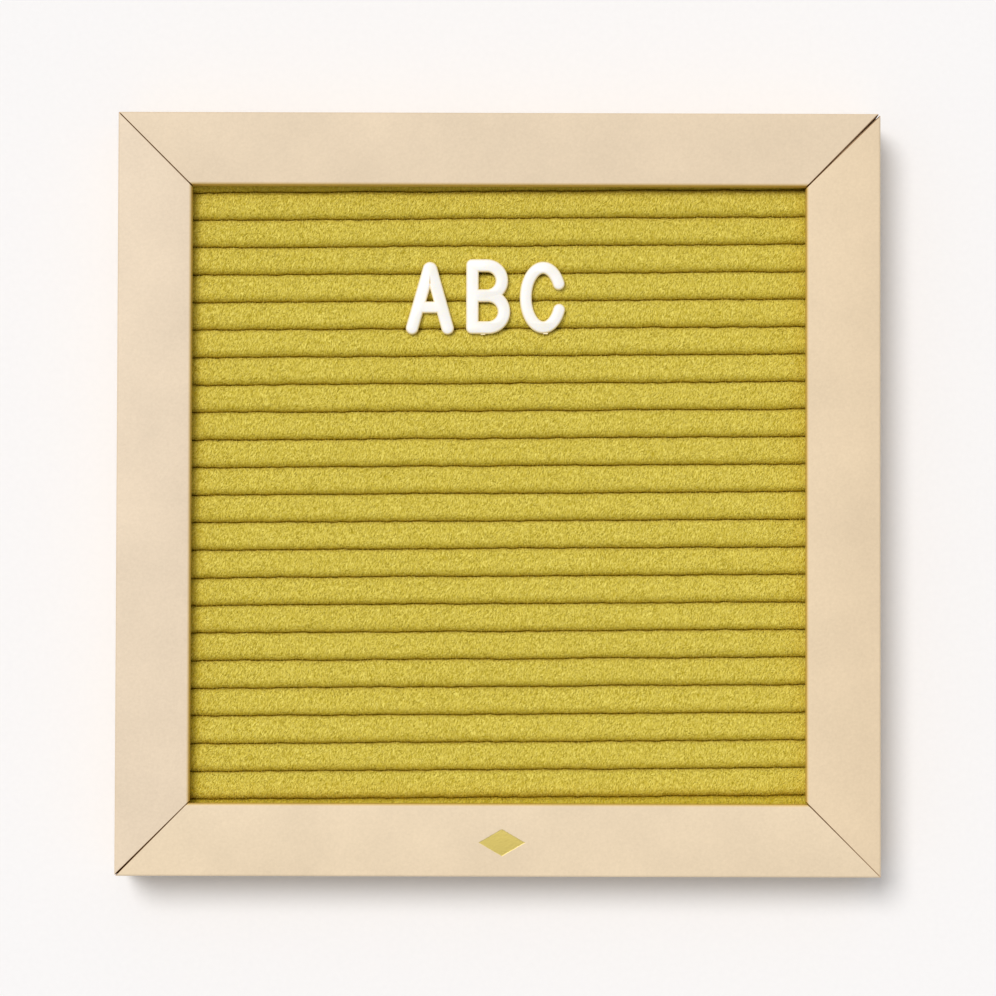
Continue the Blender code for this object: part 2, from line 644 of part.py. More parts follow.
def letter_c(inset):
    """One stroke round most of an oval, with round ends at its mouth."""
    half = C_STROKE / 2 - inset
    steps = 28
    sweep = 2 * math.pi - C_UPPER_MOUTH - C_LOWER_MOUTH
    line = []
    for k in range(steps + 1):
        turn = C_UPPER_MOUTH + sweep * k / steps
        across = Vector((math.cos(turn), math.sin(turn)))
        place = Vector((C_HALF_WIDTH * across.x, C_MIDDLE_RISE + C_HALF_HEIGHT * across.y))
        normal = Vector((C_HALF_HEIGHT * across.x, C_HALF_WIDTH * across.y)).normalized()
        line.append((place, normal))
    outside = [tuple(place + normal * half) for place, normal in line]
    inside = [tuple(place - normal * half) for place, normal in reversed(line)]
    upper_end, upper_normal = line[0]
    lower_end, lower_normal = line[-1]
    upper = math.degrees(math.atan2(upper_normal.y, upper_normal.x))
    lower = math.degrees(math.atan2(lower_normal.y, lower_normal.x))
    lower_cap = arc(lower_end, half, lower, lower + 180, 8)[1:-1]
    upper_cap = arc(upper_end, half, upper + 180, upper + 360, 8)[1:-1]
    return [outside + lower_cap + inside + upper_cap]


def add_letter(name, outlines, place, tabs, nub=None):
    """Mould one letter, with its tabs and gate nub, upright on its groove, and cut its pockets."""
    body = curve_mesh(name, outlines, LETTER_THICKNESS, edge_radius=LETTER_EDGE_RADIUS)
    body.transform(Matrix.Translation((0, 0, LETTER_BACK + LETTER_THICKNESS / 2)))
    line = (LETTER_LINE + place * math.sin(PANEL_TURN)) / math.cos(PANEL_TURN)
    spot = {"location": (place, line, 0)}
    letter = add_piece(name, body, LETTER_PLASTIC, **spot)
    additions = cutter_group(name + "_tabs")
    sunk = LETTER_BACK + LETTER_THICKNESS / 2
    foot = LETTER_BACK - TAB_DEPTH
    margin = Vector((CLEARANCE, CLEARANCE, CLEARANCE))
    for number, (across, row, length) in enumerate(tabs):
        rise = row * LETTER_GROOVE_SPAN * GROOVE_PITCH
        low = Vector((across - length / 2, rise - TAB_THICKNESS / 2, foot))
        high = Vector((across + length / 2, rise + TAB_THICKNESS / 2, sunk))
        tab = box_mesh(name + "_tab", low, high)
        add_cutter(name + "_tab_" + str(number), tab, additions, **spot)
        pocket = box_mesh(name + "_pocket", low - margin, high + margin)
        add_cutter(name + "_pocket_" + str(number), pocket, tab_pockets, **spot)
    if nub is not None:
        across, edge = nub
        low = (across - NUB_WIDTH / 2, edge - NUB_STAND, LETTER_BACK + LETTER_EDGE_RADIUS)
        high = (across + NUB_WIDTH / 2, edge + NUB_ROOT, low[2] + NUB_HEIGHT)
        add_cutter(name + "_nub", box_mesh(name + "_nub", low, high), additions, **spot)
    join = letter.modifiers.new("tabs", "BOOLEAN")
    join.operation = "UNION"
    join.operand_type = "COLLECTION"
    join.collection = additions


rail_cutters = [cutter_group(name + "_cutters") for name in RAIL_NAMES]
core_cutters = cutter_group("core_cutters")
wrap_cutters = cutter_group("wrap_cutters")
hanger_cutters = cutter_group("hanger_cutters")
tab_pockets = cutter_group("tab_pockets")
for rail_index in range(len(RAIL_NAMES)):
    mitre_openings(rail_index)
    v_nails(rail_index)
    glazing_points(rail_index)
nail_reach = (HANGER_LENGTH - HANGER_EAR) / 2
top_rail = RAIL_NAMES.index("top_rail")
bottom_rail = RAIL_NAMES.index("bottom_rail")
hanger_nails(top_rail, (("left", nail_reach), ("right", -nail_reach)))
sawtooth_hanger(top_rail)
bumpers(top_rail)
bumpers(bottom_rail)
for rail_index in range(len(RAIL_NAMES)):
    rail_core(rail_index)
    rail_wrap(rail_index)
add_letter("letter_a", letter_a(LETTER_EDGE_RADIUS), A_PLACE, A_TABS)
add_letter("letter_b", letter_b(LETTER_EDGE_RADIUS), B_PLACE, B_TABS,
           nub=(B_NUB, B_LOWER_BOWL[1] - B_LOWER_BOWL[2]))
add_letter("letter_c", letter_c(LETTER_EDGE_RADIUS), C_PLACE, C_TABS,
           nub=(C_NUB, C_MIDDLE_RISE - C_HALF_HEIGHT - C_STROKE / 2))
felt_sheet()
ribbed_base()
backing_board()
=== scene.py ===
"""Felt letter board: the looks of its pieces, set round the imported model.

Lengths are in metres. The board lies on its back, +Z out of its face and +Y to its letters' tops.
"""
import json
import math

import bmesh
import bpy
import numpy as np
from mathutils import Matrix, Vector, noise
from mathutils.geometry import tessellate_polygon

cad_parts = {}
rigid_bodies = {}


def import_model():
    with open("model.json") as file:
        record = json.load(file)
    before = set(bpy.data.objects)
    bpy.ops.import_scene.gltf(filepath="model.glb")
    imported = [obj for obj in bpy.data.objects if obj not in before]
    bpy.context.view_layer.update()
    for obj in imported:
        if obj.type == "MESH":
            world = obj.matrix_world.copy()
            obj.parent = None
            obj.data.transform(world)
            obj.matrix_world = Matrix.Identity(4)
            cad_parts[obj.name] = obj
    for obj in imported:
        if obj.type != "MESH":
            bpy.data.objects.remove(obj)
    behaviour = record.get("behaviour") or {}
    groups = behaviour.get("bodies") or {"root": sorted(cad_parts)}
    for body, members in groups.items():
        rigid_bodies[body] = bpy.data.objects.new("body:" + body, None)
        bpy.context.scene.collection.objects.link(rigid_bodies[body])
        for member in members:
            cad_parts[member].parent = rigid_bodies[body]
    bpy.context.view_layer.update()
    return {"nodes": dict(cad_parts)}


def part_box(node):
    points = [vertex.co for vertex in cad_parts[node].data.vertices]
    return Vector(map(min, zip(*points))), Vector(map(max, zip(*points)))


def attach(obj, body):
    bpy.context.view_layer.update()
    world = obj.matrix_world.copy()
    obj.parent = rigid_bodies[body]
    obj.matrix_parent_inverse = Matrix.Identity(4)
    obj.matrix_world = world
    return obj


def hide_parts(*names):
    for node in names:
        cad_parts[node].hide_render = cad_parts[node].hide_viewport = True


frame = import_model()
nodes = frame["nodes"]


# Rail cores
# Four lengths of fibreboard moulding, sawn to an L in section with a lip at the front. They
# stay as packed and show raw at the frame's back, in the rabbet and down in the open mitres.
RAILS = ("bottom_rail", "right_rail", "top_rail", "left_rail")
FIBREBOARD_LIGHT = (0.60, 0.39, 0.215, 1)
FIBREBOARD_DARK = (0.36, 0.22, 0.11, 1)
FIBRE_SIZE = 0.0006
FIBRE_DEPTH = 0.00012
CLUMP_SIZE = 0.006


def start_material(name, **same_all_over):
    """A new material and its node tree and shader, with what is the same all over it."""
    material = bpy.data.materials.new(name)
    material.use_nodes = True
    shader = material.node_tree.nodes["Principled BSDF"]
    for socket, value in same_all_over.items():
        shader.inputs[socket.replace("_", " ")].default_value = value
    return material, material.node_tree, shader


def add_node(tree, kind, inputs=None, **settings):
    """Add a node. An input is a plain value or another node's output."""
    made = tree.nodes.new(kind)
    for name, value in settings.items():
        setattr(made, name, value)
    for socket, value in (inputs or {}).items():
        if isinstance(value, bpy.types.NodeSocket):
            tree.links.new(value, made.inputs[socket])
        else:
            made.inputs[socket].default_value = value
    return made


def place_of(tree, stretch=(1, 1, 1), turn=0.0):
    """Object coordinates, turned about Z and then stretched."""
    here = add_node(tree, "ShaderNodeTexCoord").outputs["Object"]
    if turn:
        spin = {"Vector": here, "Rotation": (0, 0, turn)}
        here = add_node(tree, "ShaderNodeMapping", spin).outputs[0]
    return add_node(tree, "ShaderNodeMapping", {"Vector": here, "Scale": stretch}).outputs[0]


def speckle(tree, vector, size, detail=2.0, roughness=0.5, distortion=0.0):
    """Cloudy noise whose blotches are about that size."""
    settings = {"Vector": vector, "Scale": 1 / size, "Detail": detail,
                "Roughness": roughness, "Distortion": distortion}
    return add_node(tree, "ShaderNodeTexNoise", settings).outputs[0]


def ramp(tree, factor, *stops):
    """Colours by their places along a factor from 0 to 1."""
    made = add_node(tree, "ShaderNodeValToRGB", {0: factor})
    band = made.color_ramp.elements
    while len(band) < len(stops):
        band.new(0.5)
    for element, (position, colour) in zip(band, stops):
        element.position = position
        element.color = colour
    return made.outputs[0]


def paint(tree, shader, factor, *stops):
    """Colour the whole piece by places along a factor."""
    tree.links.new(ramp(tree, factor, *stops), shader.inputs["Base Color"])


def mathematics(tree, operation, *values):
    """The result of one sum on values and outputs."""
    return add_node(tree, "ShaderNodeMath", dict(enumerate(values)), operation=operation).outputs[0]


def between(tree, factor, low, high, start=0.0, end=1.0):
    """A number that runs from low to high as the factor runs from start to end."""
    settings = {0: factor, 1: start, 2: end, 3: low, 4: high}
    return add_node(tree, "ShaderNodeMapRange", settings).outputs[0]


def bump(tree, shader, *layers):
    """Join layers of (height from 0 to 1, depth in metres) into the shader's normal."""
    normal = None
    for height, depth in layers:
        settings = {"Height": height, "Distance": depth, "Strength": 1.0}
        if normal is not None:
            settings["Normal"] = normal
        normal = add_node(tree, "ShaderNodeBump", settings).outputs[0]
    tree.links.new(normal, shader.inputs["Normal"])


def finish_as_packed(name, material):
    """Give a piece that stays as packed its material."""
    mesh = nodes[name].data
    mesh.materials.clear()
    mesh.materials.append(material)


fibreboard, tree, shader = start_material("raw_fibreboard", Roughness=0.85)
here = place_of(tree)
fibres = speckle(tree, here, FIBRE_SIZE, 4.0, 0.7)
clumps = speckle(tree, here, CLUMP_SIZE, 3.0)
tone = mathematics(tree, "MULTIPLY_ADD", clumps, 0.4, mathematics(tree, "MULTIPLY", fibres, 0.6))
paint(tree, shader, tone, (0.3, FIBREBOARD_DARK), (0.7, FIBREBOARD_LIGHT))
bump(tree, shader, (fibres, FIBRE_DEPTH))
for rail in RAILS:
    finish_as_packed(rail + "_core", fibreboard)


# Rail wraps
# One strip of beige leatherette is glued round each core, from the edge of its back over the
# outer side and the face to under the lip, and is sawn with it to the mitre, so its cut ends are
# pressed thin. A plain foil lozenge is stamped in the middle of the bottom rail.
BOARD_SIZE = 0.2032
RAIL_FACE = 0.0192
RAIL_DEPTH = 0.0200
FRAME_BACK = 0.0020
FRAME_FACE = FRAME_BACK + RAIL_DEPTH
LIP_THICKNESS = 0.0050
RABBET_WALL = 0.0142
WRAP_THICKNESS = 0.0004
WRAP_TURN_IN = 0.0050
LIP_WRAP_MARGIN = 0.0008
OUTER_RADIUS = 0.0006
INNER_RADIUS = 0.0007
MITRE_SEAM = 0.00005
MITRE_OPENINGS = {  # at the sight edge and at the outer corner, for the high end of each rail
    "bottom_rail": (0.00019, 0.00003),
    "right_rail": (0.00026, 0.00078),
    "top_rail": (0.00020, 0.00016),
    "left_rail": (0.00007, 0.00050),
}
FULLNESS = {  # how much further the hide of each rail stands into the opening
    "bottom_rail": 0.0, "right_rail": 0.0005, "top_rail": 0.00015, "left_rail": 0.0004,
}
OPENING_DEPTH = 0.0045
OPENING_LENGTH = RAIL_FACE + 0.0010
CUT_ROUNDING = 0.00022
RAIL_COLOURS_AND_LIGHT = {  # the leatherette's colour, each rail a little lighter or darker as painted light and shade from how the light falls across the frame
    "bottom_rail": (0.760, 0.611, 0.424),
    "right_rail": (0.741, 0.584, 0.394),
    "top_rail": (0.714, 0.572, 0.403),
    "left_rail": (0.734, 0.595, 0.435),
}
LIP_FELT_GLOW = (0.99, 0.83, 0.28)  # painted yellow light thrown back by the felt, on the hide where it turns under the lip
CUT_TINT = (0.60, 0.38, 0.20)
FOIL = (0.54, 0.43, 0.12, 1)
FOIL_CENTRE = (0.00108, -0.09256)
FOIL_HALF = (0.0062, 0.0036)
FOIL_FRAY = 0.12
FOIL_EDGE = (1.02, 1.09)  # in half lozenges from its centre, where the frayed foil ends, and is gone
FOIL_SHINE = 0.85
FOIL_DEPTH = 0.00004
HIDE_SHADE = (0.82, 1.18)
MOTTLE_SIZE = 0.0007
CLOUD_SIZE = 0.018
PORE_SIZE = 0.00055
PORE_DEPTH = 0.000012
GRAIN_SIZE = 0.0004
GRAIN_DEPTH = 0.00001


def arc(centre, radius, start, end, steps):
    """Points along a circle from one angle to another, both ends included, in degrees."""
    turns = [math.radians(start + (end - start) * k / steps) for k in range(steps + 1)]
    return [(centre[0] + radius * math.cos(t), centre[1] + radius * math.sin(t)) for t in turns]


def path_sides(path, half):
    """The two lines that run beside a path at that distance, kept parallel at its corners."""
    points = np.array(path, float)
    legs = np.diff(points, axis=0)
    legs /= np.linalg.norm(legs, axis=1)[:, None]
    normals = np.stack([-legs[:, 1], legs[:, 0]], axis=1)
    first = np.vstack([normals[:1], normals])
    second = np.vstack([normals, normals[-1:]])
    reach = (first + second) / (1 + np.sum(first * second, axis=1))[:, None]
    return points + reach * half, points - reach * half


def strip_mesh(name, outer, inner):
    """A closed sheet from two grids of points, the outer one and the one behind it."""
    rows, columns = outer.shape[:2]
    points = np.concatenate([outer.reshape(-1, 3), inner.reshape(-1, 3)])
    index = np.arange(rows * columns).reshape(rows, columns)
    front = np.stack([index[:-1, :-1], index[:-1, 1:], index[1:, 1:], index[1:, :-1]], axis=-1)
    back = front[..., ::-1] + rows * columns
    rim = np.concatenate([index[0, :-1], index[:-1, -1], index[-1, :0:-1], index[:0:-1, 0]])
    ahead = np.roll(rim, -1)
    below = rows * columns
    side = np.stack([ahead, rim, rim + below, ahead + below], axis=1)
    faces = np.concatenate([front.reshape(-1, 4), back.reshape(-1, 4), side])
    mesh = bpy.data.meshes.new(name)
    mesh.from_pydata(points.tolist(), [], faces.tolist())
    sheet = bmesh.new()
    sheet.from_mesh(mesh)
    bmesh.ops.recalc_face_normals(sheet, faces=sheet.faces)
    sheet.to_mesh(mesh)
    sheet.free()
    return mesh


def new_object(name, data):
    """A new object, linked into the scene."""
    made = bpy.data.objects.new(name, data)
    bpy.context.scene.collection.objects.link(made)
    return made


def show_piece(mesh, material, slot, *replaced, smooth_below=None):
    """Make a mesh an object that rides on the board, with that material. The slot is not used."""
    piece = new_object(mesh.name, mesh)
    mesh.materials.clear()
    mesh.materials.append(material)
    mesh.polygons.foreach_set("use_smooth", [True] * len(mesh.polygons))
    if smooth_below is not None:
        mesh.set_sharp_from_angle(angle=math.radians(smooth_below))
    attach(piece, "root")
    if replaced:
        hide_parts(*replaced)
    return piece


def blend(tree, share, first, second):
    """The first colour, and the second as far as the share goes."""
    return add_node(tree, "ShaderNodeMixRGB", {0: share, 1: first, 2: second}).outputs[0]


leatherette, tree, shader = start_material("beige_leatherette", Roughness=0.45, IOR=1.45)
here = place_of(tree)
mottle = speckle(tree, here, MOTTLE_SIZE, 2.0, 0.6)
clouds = speckle(tree, here, CLOUD_SIZE, 2.0)
# The hide's colour at each point: its dye and cut ends, with painted light and shade by rail and painted felt
# light under the lip.
cutting = add_node(tree, "ShaderNodeAttribute", attribute_name="cutting").outputs["Color"]
tone = mathematics(tree, "MULTIPLY_ADD", mottle, 0.5, mathematics(tree, "MULTIPLY", clouds, 0.5))
shade = between(tree, tone, *HIDE_SHADE)
hide = add_node(tree, "ShaderNodeVectorMath", {0: cutting, "Scale": shade}, operation="SCALE").outputs[0]
pores = add_node(tree, "ShaderNodeTexVoronoi", {"Vector": here, "Scale": 1 / PORE_SIZE}).outputs[0]
grain = speckle(tree, here, GRAIN_SIZE, 2.0, 0.6)
split = add_node(tree, "ShaderNodeSeparateXYZ", {0: here})
across = mathematics(tree, "ABSOLUTE", mathematics(tree, "SUBTRACT", split.outputs[0], FOIL_CENTRE[0]))
upright = mathematics(tree, "ABSOLUTE", mathematics(tree, "SUBTRACT", split.outputs[1], FOIL_CENTRE[1]))
reach = mathematics(tree, "MULTIPLY_ADD", across, 1 / FOIL_HALF[0],
                    mathematics(tree, "MULTIPLY", upright, 1 / FOIL_HALF[1]))
frayed = mathematics(tree, "MULTIPLY_ADD", grain, FOIL_FRAY, reach)
stamped = between(tree, frayed, 1.0, 0.0, *FOIL_EDGE)
tree.links.new(blend(tree, stamped, hide, FOIL), shader.inputs["Base Color"])
tree.links.new(mathematics(tree, "MULTIPLY", stamped, FOIL_SHINE), shader.inputs["Metallic"])
bump(tree, shader, (pores, PORE_DEPTH), (grain, GRAIN_DEPTH), (stamped, -FOIL_DEPTH))

STATIONS = [0, 0.12, 0.3, 0.6, 1.0, 1.6]  # places near a cut end, in times CUT_ROUNDING
WRAP_SPANS = 24
wrap_path = [(WRAP_TURN_IN, FRAME_BACK)]
wrap_path += arc((OUTER_RADIUS, FRAME_BACK + OUTER_RADIUS), OUTER_RADIUS, 270, 180, 8)
wrap_path += arc((OUTER_RADIUS, FRAME_FACE - OUTER_RADIUS), OUTER_RADIUS, 180, 90, 10)
wrap_path += arc((RAIL_FACE - INNER_RADIUS, FRAME_FACE - INNER_RADIUS), INNER_RADIUS, 90, 0, 10)
under_lip = FRAME_FACE - LIP_THICKNESS
wrap_path += arc((RAIL_FACE - OUTER_RADIUS, under_lip + OUTER_RADIUS), OUTER_RADIUS, 0, -90, 8)
wrap_path += [(RABBET_WALL + LIP_WRAP_MARGIN, under_lip)]
outer_line, _ = path_sides(wrap_path, 0)
_, inner_line = path_sides(wrap_path, WRAP_THICKNESS)
wrap_normals = (outer_line - inner_line) / WRAP_THICKNESS
girth = float(np.linalg.norm(np.diff(outer_line, axis=0), axis=1).sum())
for index, rail in enumerate(RAILS):
    grids = []
    for line in (outer_line, inner_line):
        line = line.copy()
        line[:, 0] += FULLNESS[rail] * (line[:, 0] > RAIL_FACE / 2)
        ends = []
        for sight, outer in (MITRE_OPENINGS[RAILS[index - 1]], MITRE_OPENINGS[rail]):
            closing = (max(sight, outer) - MITRE_SEAM) / OPENING_DEPTH * (FRAME_FACE - line[:, 1])
            opening = outer + (sight - outer) * line[:, 0] / OPENING_LENGTH - closing
            ends.append(BOARD_SIZE / 2 - line[:, 0] - np.maximum(opening, MITRE_SEAM) / math.sqrt(2))
        near = [CUT_ROUNDING * station for station in STATIONS]
        lows = [-ends[0] + step for step in near]
        highs = [ends[1] - step for step in reversed(near)]
        middles = [lows[-1] + (highs[0] - lows[-1]) * k / WRAP_SPANS for k in range(1, WRAP_SPANS)]
        grid = np.zeros((len(line), 2 * len(near) + len(middles), 3))
        grid[:, :, 0] = np.stack(lows + middles + highs, axis=1)
        grid[:, :, 1] = line[:, :1]
        grid[:, :, 2] = line[:, 1:]
        grids.append(grid)
    dips = []
    for station in STATIONS:
        rise = max(0.0, 1 - station)
        dips.append(CUT_ROUNDING * (1 - math.sqrt(1 - rise * rise)))
    dips = np.array(dips + [0.0] * (WRAP_SPANS - 1) + dips[::-1])
    grids[0][:, :, 1] -= wrap_normals[:, :1] * dips
    grids[0][:, :, 2] -= wrap_normals[:, 1:] * dips
    mesh = strip_mesh(rail + "_leatherette", *grids)
    turn = Matrix.Rotation(index * math.pi / 2, 4, "Z")
    mesh.transform(turn @ Matrix.Translation((0, -BOARD_SIZE / 2, 0)))
    # Painted light: the hide over the inner rounding and under the lip is yellowed as if lit by the felt.
    lip_glow_share = np.sqrt(np.clip((FRAME_FACE - outer_line[:, 1]) / INNER_RADIUS, 0, 1))
    lip_glow_share *= outer_line[:, 0] > RAIL_FACE / 2
    dye = np.array(RAIL_COLOURS_AND_LIGHT[rail]) * (1 + lip_glow_share[:, None] * (np.array(LIP_FELT_GLOW) - 1))
    sawn = np.interp(STATIONS, (STATIONS[1], STATIONS[3]), (1.0, 0.0))
    sawn = np.concatenate([sawn, np.zeros(WRAP_SPANS - 1), sawn[::-1]])[:, None]
    colours = np.ones((2, len(outer_line), len(sawn), 4))
    colours[..., :3] = dye[:, None] * (1 + sawn * (np.array(CUT_TINT) - 1))
    dyes = mesh.attributes.new("cutting", "FLOAT_COLOR", "POINT")
    dyes.data.foreach_set("color", colours.ravel())
    wrap = show_piece(mesh, leatherette, "leatherette", rail + "_wrap", smooth_below=50)


# V nails and glazing points
# Bent steel strips are driven across each corner from behind, and flat steel points are pushed
# into the rabbet over the backing board. Both are zinc plated and stay as packed.
ZINC_LIGHT = (0.72, 0.73, 0.74, 1)
ZINC_DARK = (0.50, 0.51, 0.53, 1)
SPANGLE_SIZE = 0.0012
SCUFF_SIZE = 0.0008
SCUFF_DEPTH = 0.00001
zinc, tree, shader = start_material("zinc_plate", Metallic=1.0)
spangle = add_node(tree, "ShaderNodeTexVoronoi", {"Vector": place_of(tree), "Scale": 1 / SPANGLE_SIZE})
scuffs = speckle(tree, place_of(tree, (1, 6, 1), 0.6), SCUFF_SIZE, 3.0)
paint(tree, shader, spangle.outputs[0], (0.0, ZINC_DARK), (1.0, ZINC_LIGHT))
tree.links.new(between(tree, scuffs, 0.28, 0.5), shader.inputs["Roughness"])
bump(tree, shader, (scuffs, SCUFF_DEPTH))
for name in nodes:
    if name.startswith("v_nail_") or "_point_" in name:
        finish_as_packed(name, zinc)


# Ribbed board
# A black moulded board with a slot under each fold of the felt. It stays as packed, out of
# sight between the felt and the backing, with the satin skin that a mould leaves.
BOARD_BLACK = (0.028, 0.028, 0.030, 1)
BOARD_GREY = (0.050, 0.050, 0.052, 1)
SKIN_SIZE = 0.0005
SKIN_DEPTH = 0.00002
black_board, tree, shader = start_material("moulded_black_board", Specular_IOR_Level=0.4)
skin = speckle(tree, place_of(tree), SKIN_SIZE, 3.0)
paint(tree, shader, skin, (0.3, BOARD_BLACK), (0.7, BOARD_GREY))
tree.links.new(between(tree, skin, 0.45, 0.65), shader.inputs["Roughness"])
bump(tree, shader, (skin, SKIN_DEPTH))
finish_as_packed("ribbed_base", black_board)


# Felt
# One sheet of mustard wool felt is pressed down into every slot of the ribbed board, so it lies
# in soft rolls with a tight groove between each two. Pressing leaves the grooves a little
# wavy, and they open where a letter's tabs are pushed in.
PANEL_SIZE = 0.1724
PANEL_TURN = math.radians(0.50)
FELT_TOP = FRAME_FACE - LIP_THICKNESS - 0.0003
FELT_THICKNESS = 0.00125
FELT_BEND = 0.0005
FOLD_DEPTH = 0.0050
GROOVE_PITCH = 0.007376
GROOVE_OFFSET = 0.00019
GROOVE_GAP = 0.00014
GROOVES_PER_HALF = 11
GROOVE_PLACES = [GROOVE_OFFSET + GROOVE_PITCH * k
                 for k in range(-GROOVES_PER_HALF, GROOVES_PER_HALF + 1)]
LETTER_GROOVE = len(GROOVE_PLACES) - 6  # the groove that holds the letters' feet
WAVE_HEIGHT = 0.00009
WAVE_LENGTH = 0.014
WAVE_DRAW = (7.3, 1.7)  # where in the noise each groove's wave lies: the step between two, the level
RIPPLE_HEIGHT = 0.00013
RIPPLE_LENGTH = 0.0024
RIPPLE_DRAW = (5.1, 9.2)
ROLL_CROWN = 0.00012
CROWN_EASE = 0.7
ROLL_LUMPS = 0.00008
LUMP_LENGTHS = (0.006, 0.005)
LUMP_DRAW = 3.1
ROLL_SAG = 0.00045
SAG_SHARE = 0.30  # of a roll, from its lower groove up, where it sags and painted shade is laid
SAG_SHADE_EASE = 1.2
ROLL_SHADE_RISE = 0.06  # of a roll, under its upper groove, where painted shade is laid too
ROLL_DEPTH = 3 * FELT_THICKNESS  # under the rolls' tops, where crown and sag have faded out
LIP_SHADE = (0.65, 0.30, 0.50)  # painted shade at the left lip, at the right one, and at the top and bottom ones
LIP_SHADE_REACH = 0.0034
SIGHT_HALF = BOARD_SIZE / 2 - RAIL_FACE
FELT_SPANS = 150
TAB_OPENING = 0.00032
TAB_FADE = 0.0012
TAB_PLACES = (  # across the turned panel, 0 at the letters' feet or 1 at their tops, length
    (-0.02274, 0, 0.0022), (-0.01324, 0, 0.0022), (-0.01787, 1, 0.0026),
    (-0.00218, 0, 0.0030), (-0.00653, 1, 0.0022),
    (0.01227, 0, 0.0030), (0.00960, 1, 0.0022),
)
FELT_LIGHT = (0.88, 0.755, 0.170, 1)
FELT_MIDDLE = (0.68, 0.550, 0.081, 1)
FELT_DARK = (0.435, 0.330, 0.016, 1)
# Painted shade: the colours laid where the felt is shaded, at its edges and deep down the grooves.
FELT_SHADE = (0.50, 0.365, 0.002, 1)
FELT_GROOVE_SHADE = (0.50, 0.31, 0.0, 1)
GROOVE_SHADE_DEPTH = (-0.0022, -0.0006)  # from the rolls' tops, where the painted shade down the grooves is full, and gone
SHADE_SHARE = 0.85
EDDY_SIZE = 0.004
EDDY_SWAY = 0.0016
STRAND_TURNS = (0.10, 0.50)
STRAND_SIZE = 0.00030
STRAND_STRETCH = 0.25
STRAND_CONTRAST = (0.38, 0.72)
STRAND_DEPTH = 0.00022


def groove_fold(place):
    """The felt's middle line down one groove, round its bottom and up again."""
    surface = FELT_TOP - FELT_THICKNESS / 2
    bend = FELT_BEND + FELT_THICKNESS / 2
    fold = GROOVE_GAP / 2 + FELT_THICKNESS / 2
    bottom = FELT_TOP - FOLD_DEPTH + FELT_THICKNESS / 2
    left = arc((place - fold - bend, surface - bend), bend, 90, 0, 3)
    turn = arc((place, bottom + fold), fold, 180, 360, 2)
    right = arc((place + fold + bend, surface - bend), bend, 180, 90, 3)
    return left, turn, right


CROSSING = [0.10, 0.30, 0.90]
felt_path = []
felt_groove = []
felt_side = []
half_panel = PANEL_SIZE / 2
flat_height = FELT_TOP - FELT_THICKNESS / 2
for number, place in enumerate(GROOVE_PLACES):
    left, turn, right = groove_fold(place)
    before = felt_path[-1][0] if felt_path else -half_panel
    gap = left[0][0] - before
    crossing = [(before + gap * part, flat_height) for part in (CROSSING if number else [0] + CROSSING)]
    felt_path += crossing
    felt_groove += [number] * len(crossing)
    felt_side += [0] * len(crossing)
    felt_path += left + turn + right
    felt_groove += [number] * (len(left) + len(turn) + len(right))
    felt_side += [-1] * len(left) + [0] * len(turn) + [1] * len(right)
gap = half_panel - felt_path[-1][0]
crossing = [(felt_path[-1][0] + gap * part, flat_height) for part in CROSSING + [1]]
felt_path += crossing
felt_groove += [len(GROOVE_PLACES) - 1] * len(crossing)
felt_side += [0] * len(crossing)


def groove_sway(number, across):
    """How far a groove wanders from its slot's middle there, up the panel."""
    wave = noise.noise(Vector((across / WAVE_LENGTH, number * WAVE_DRAW[0], WAVE_DRAW[1])))
    ripple = noise.noise(Vector((across / RIPPLE_LENGTH, number * RIPPLE_DRAW[0], RIPPLE_DRAW[1])))
    return 2 * (wave * WAVE_HEIGHT + ripple * RIPPLE_HEIGHT)


def tab_opening(number, across):
    """How far each side of a groove is pushed open by the letters' tabs there."""
    most = 0.0
    for place, row, length in TAB_PLACES:
        if number == LETTER_GROOVE + 2 * row:
            past = (abs(across - place) - length / 2) / TAB_FADE
            most = max(most, 1 - min(max(past, 0.0), 1.0))
    return most * most * (3 - 2 * most) * TAB_OPENING


front_line, back_line = path_sides(felt_path, FELT_THICKNESS / 2)
columns = np.linspace(-half_panel, half_panel, FELT_SPANS + 1)
sway = np.array([[groove_sway(k, x) for x in columns] for k in range(len(GROOVE_PLACES))])
opening = np.array([[tab_opening(k, x) for x in columns] for k in range(len(GROOVE_PLACES))])
felt_painted_shade = np.zeros((len(felt_path), len(columns)))  # painted shade at each place, at the rolls' edges and along the lips
past_left = np.clip(1 + (-columns - SIGHT_HALF) / LIP_SHADE_REACH, 0, 1)
past_right = np.clip(1 + (columns - SIGHT_HALF) / LIP_SHADE_REACH, 0, 1)
# Painted shade at the rolls' lower edges, fading up the roll, under their upper grooves, and along the lips.
for row, (middle, height) in enumerate(felt_path):
    share = (middle - GROOVE_PLACES[0]) / GROOVE_PITCH % 1.0
    edge = max(0.0, 1 - share / SAG_SHARE) ** SAG_SHADE_EASE + max(0.0, share - 1 + ROLL_SHADE_RISE) / ROLL_SHADE_RISE
    past = min(max(1 + (abs(middle) - SIGHT_HALF) / LIP_SHADE_REACH, 0.0), 1.0)
    lips = [past_left * LIP_SHADE[0], past_right * LIP_SHADE[1], past * LIP_SHADE[2] + 0 * columns]
    felt_painted_shade[row] = np.maximum(edge, np.max(lips, axis=0))
felt_grids = []
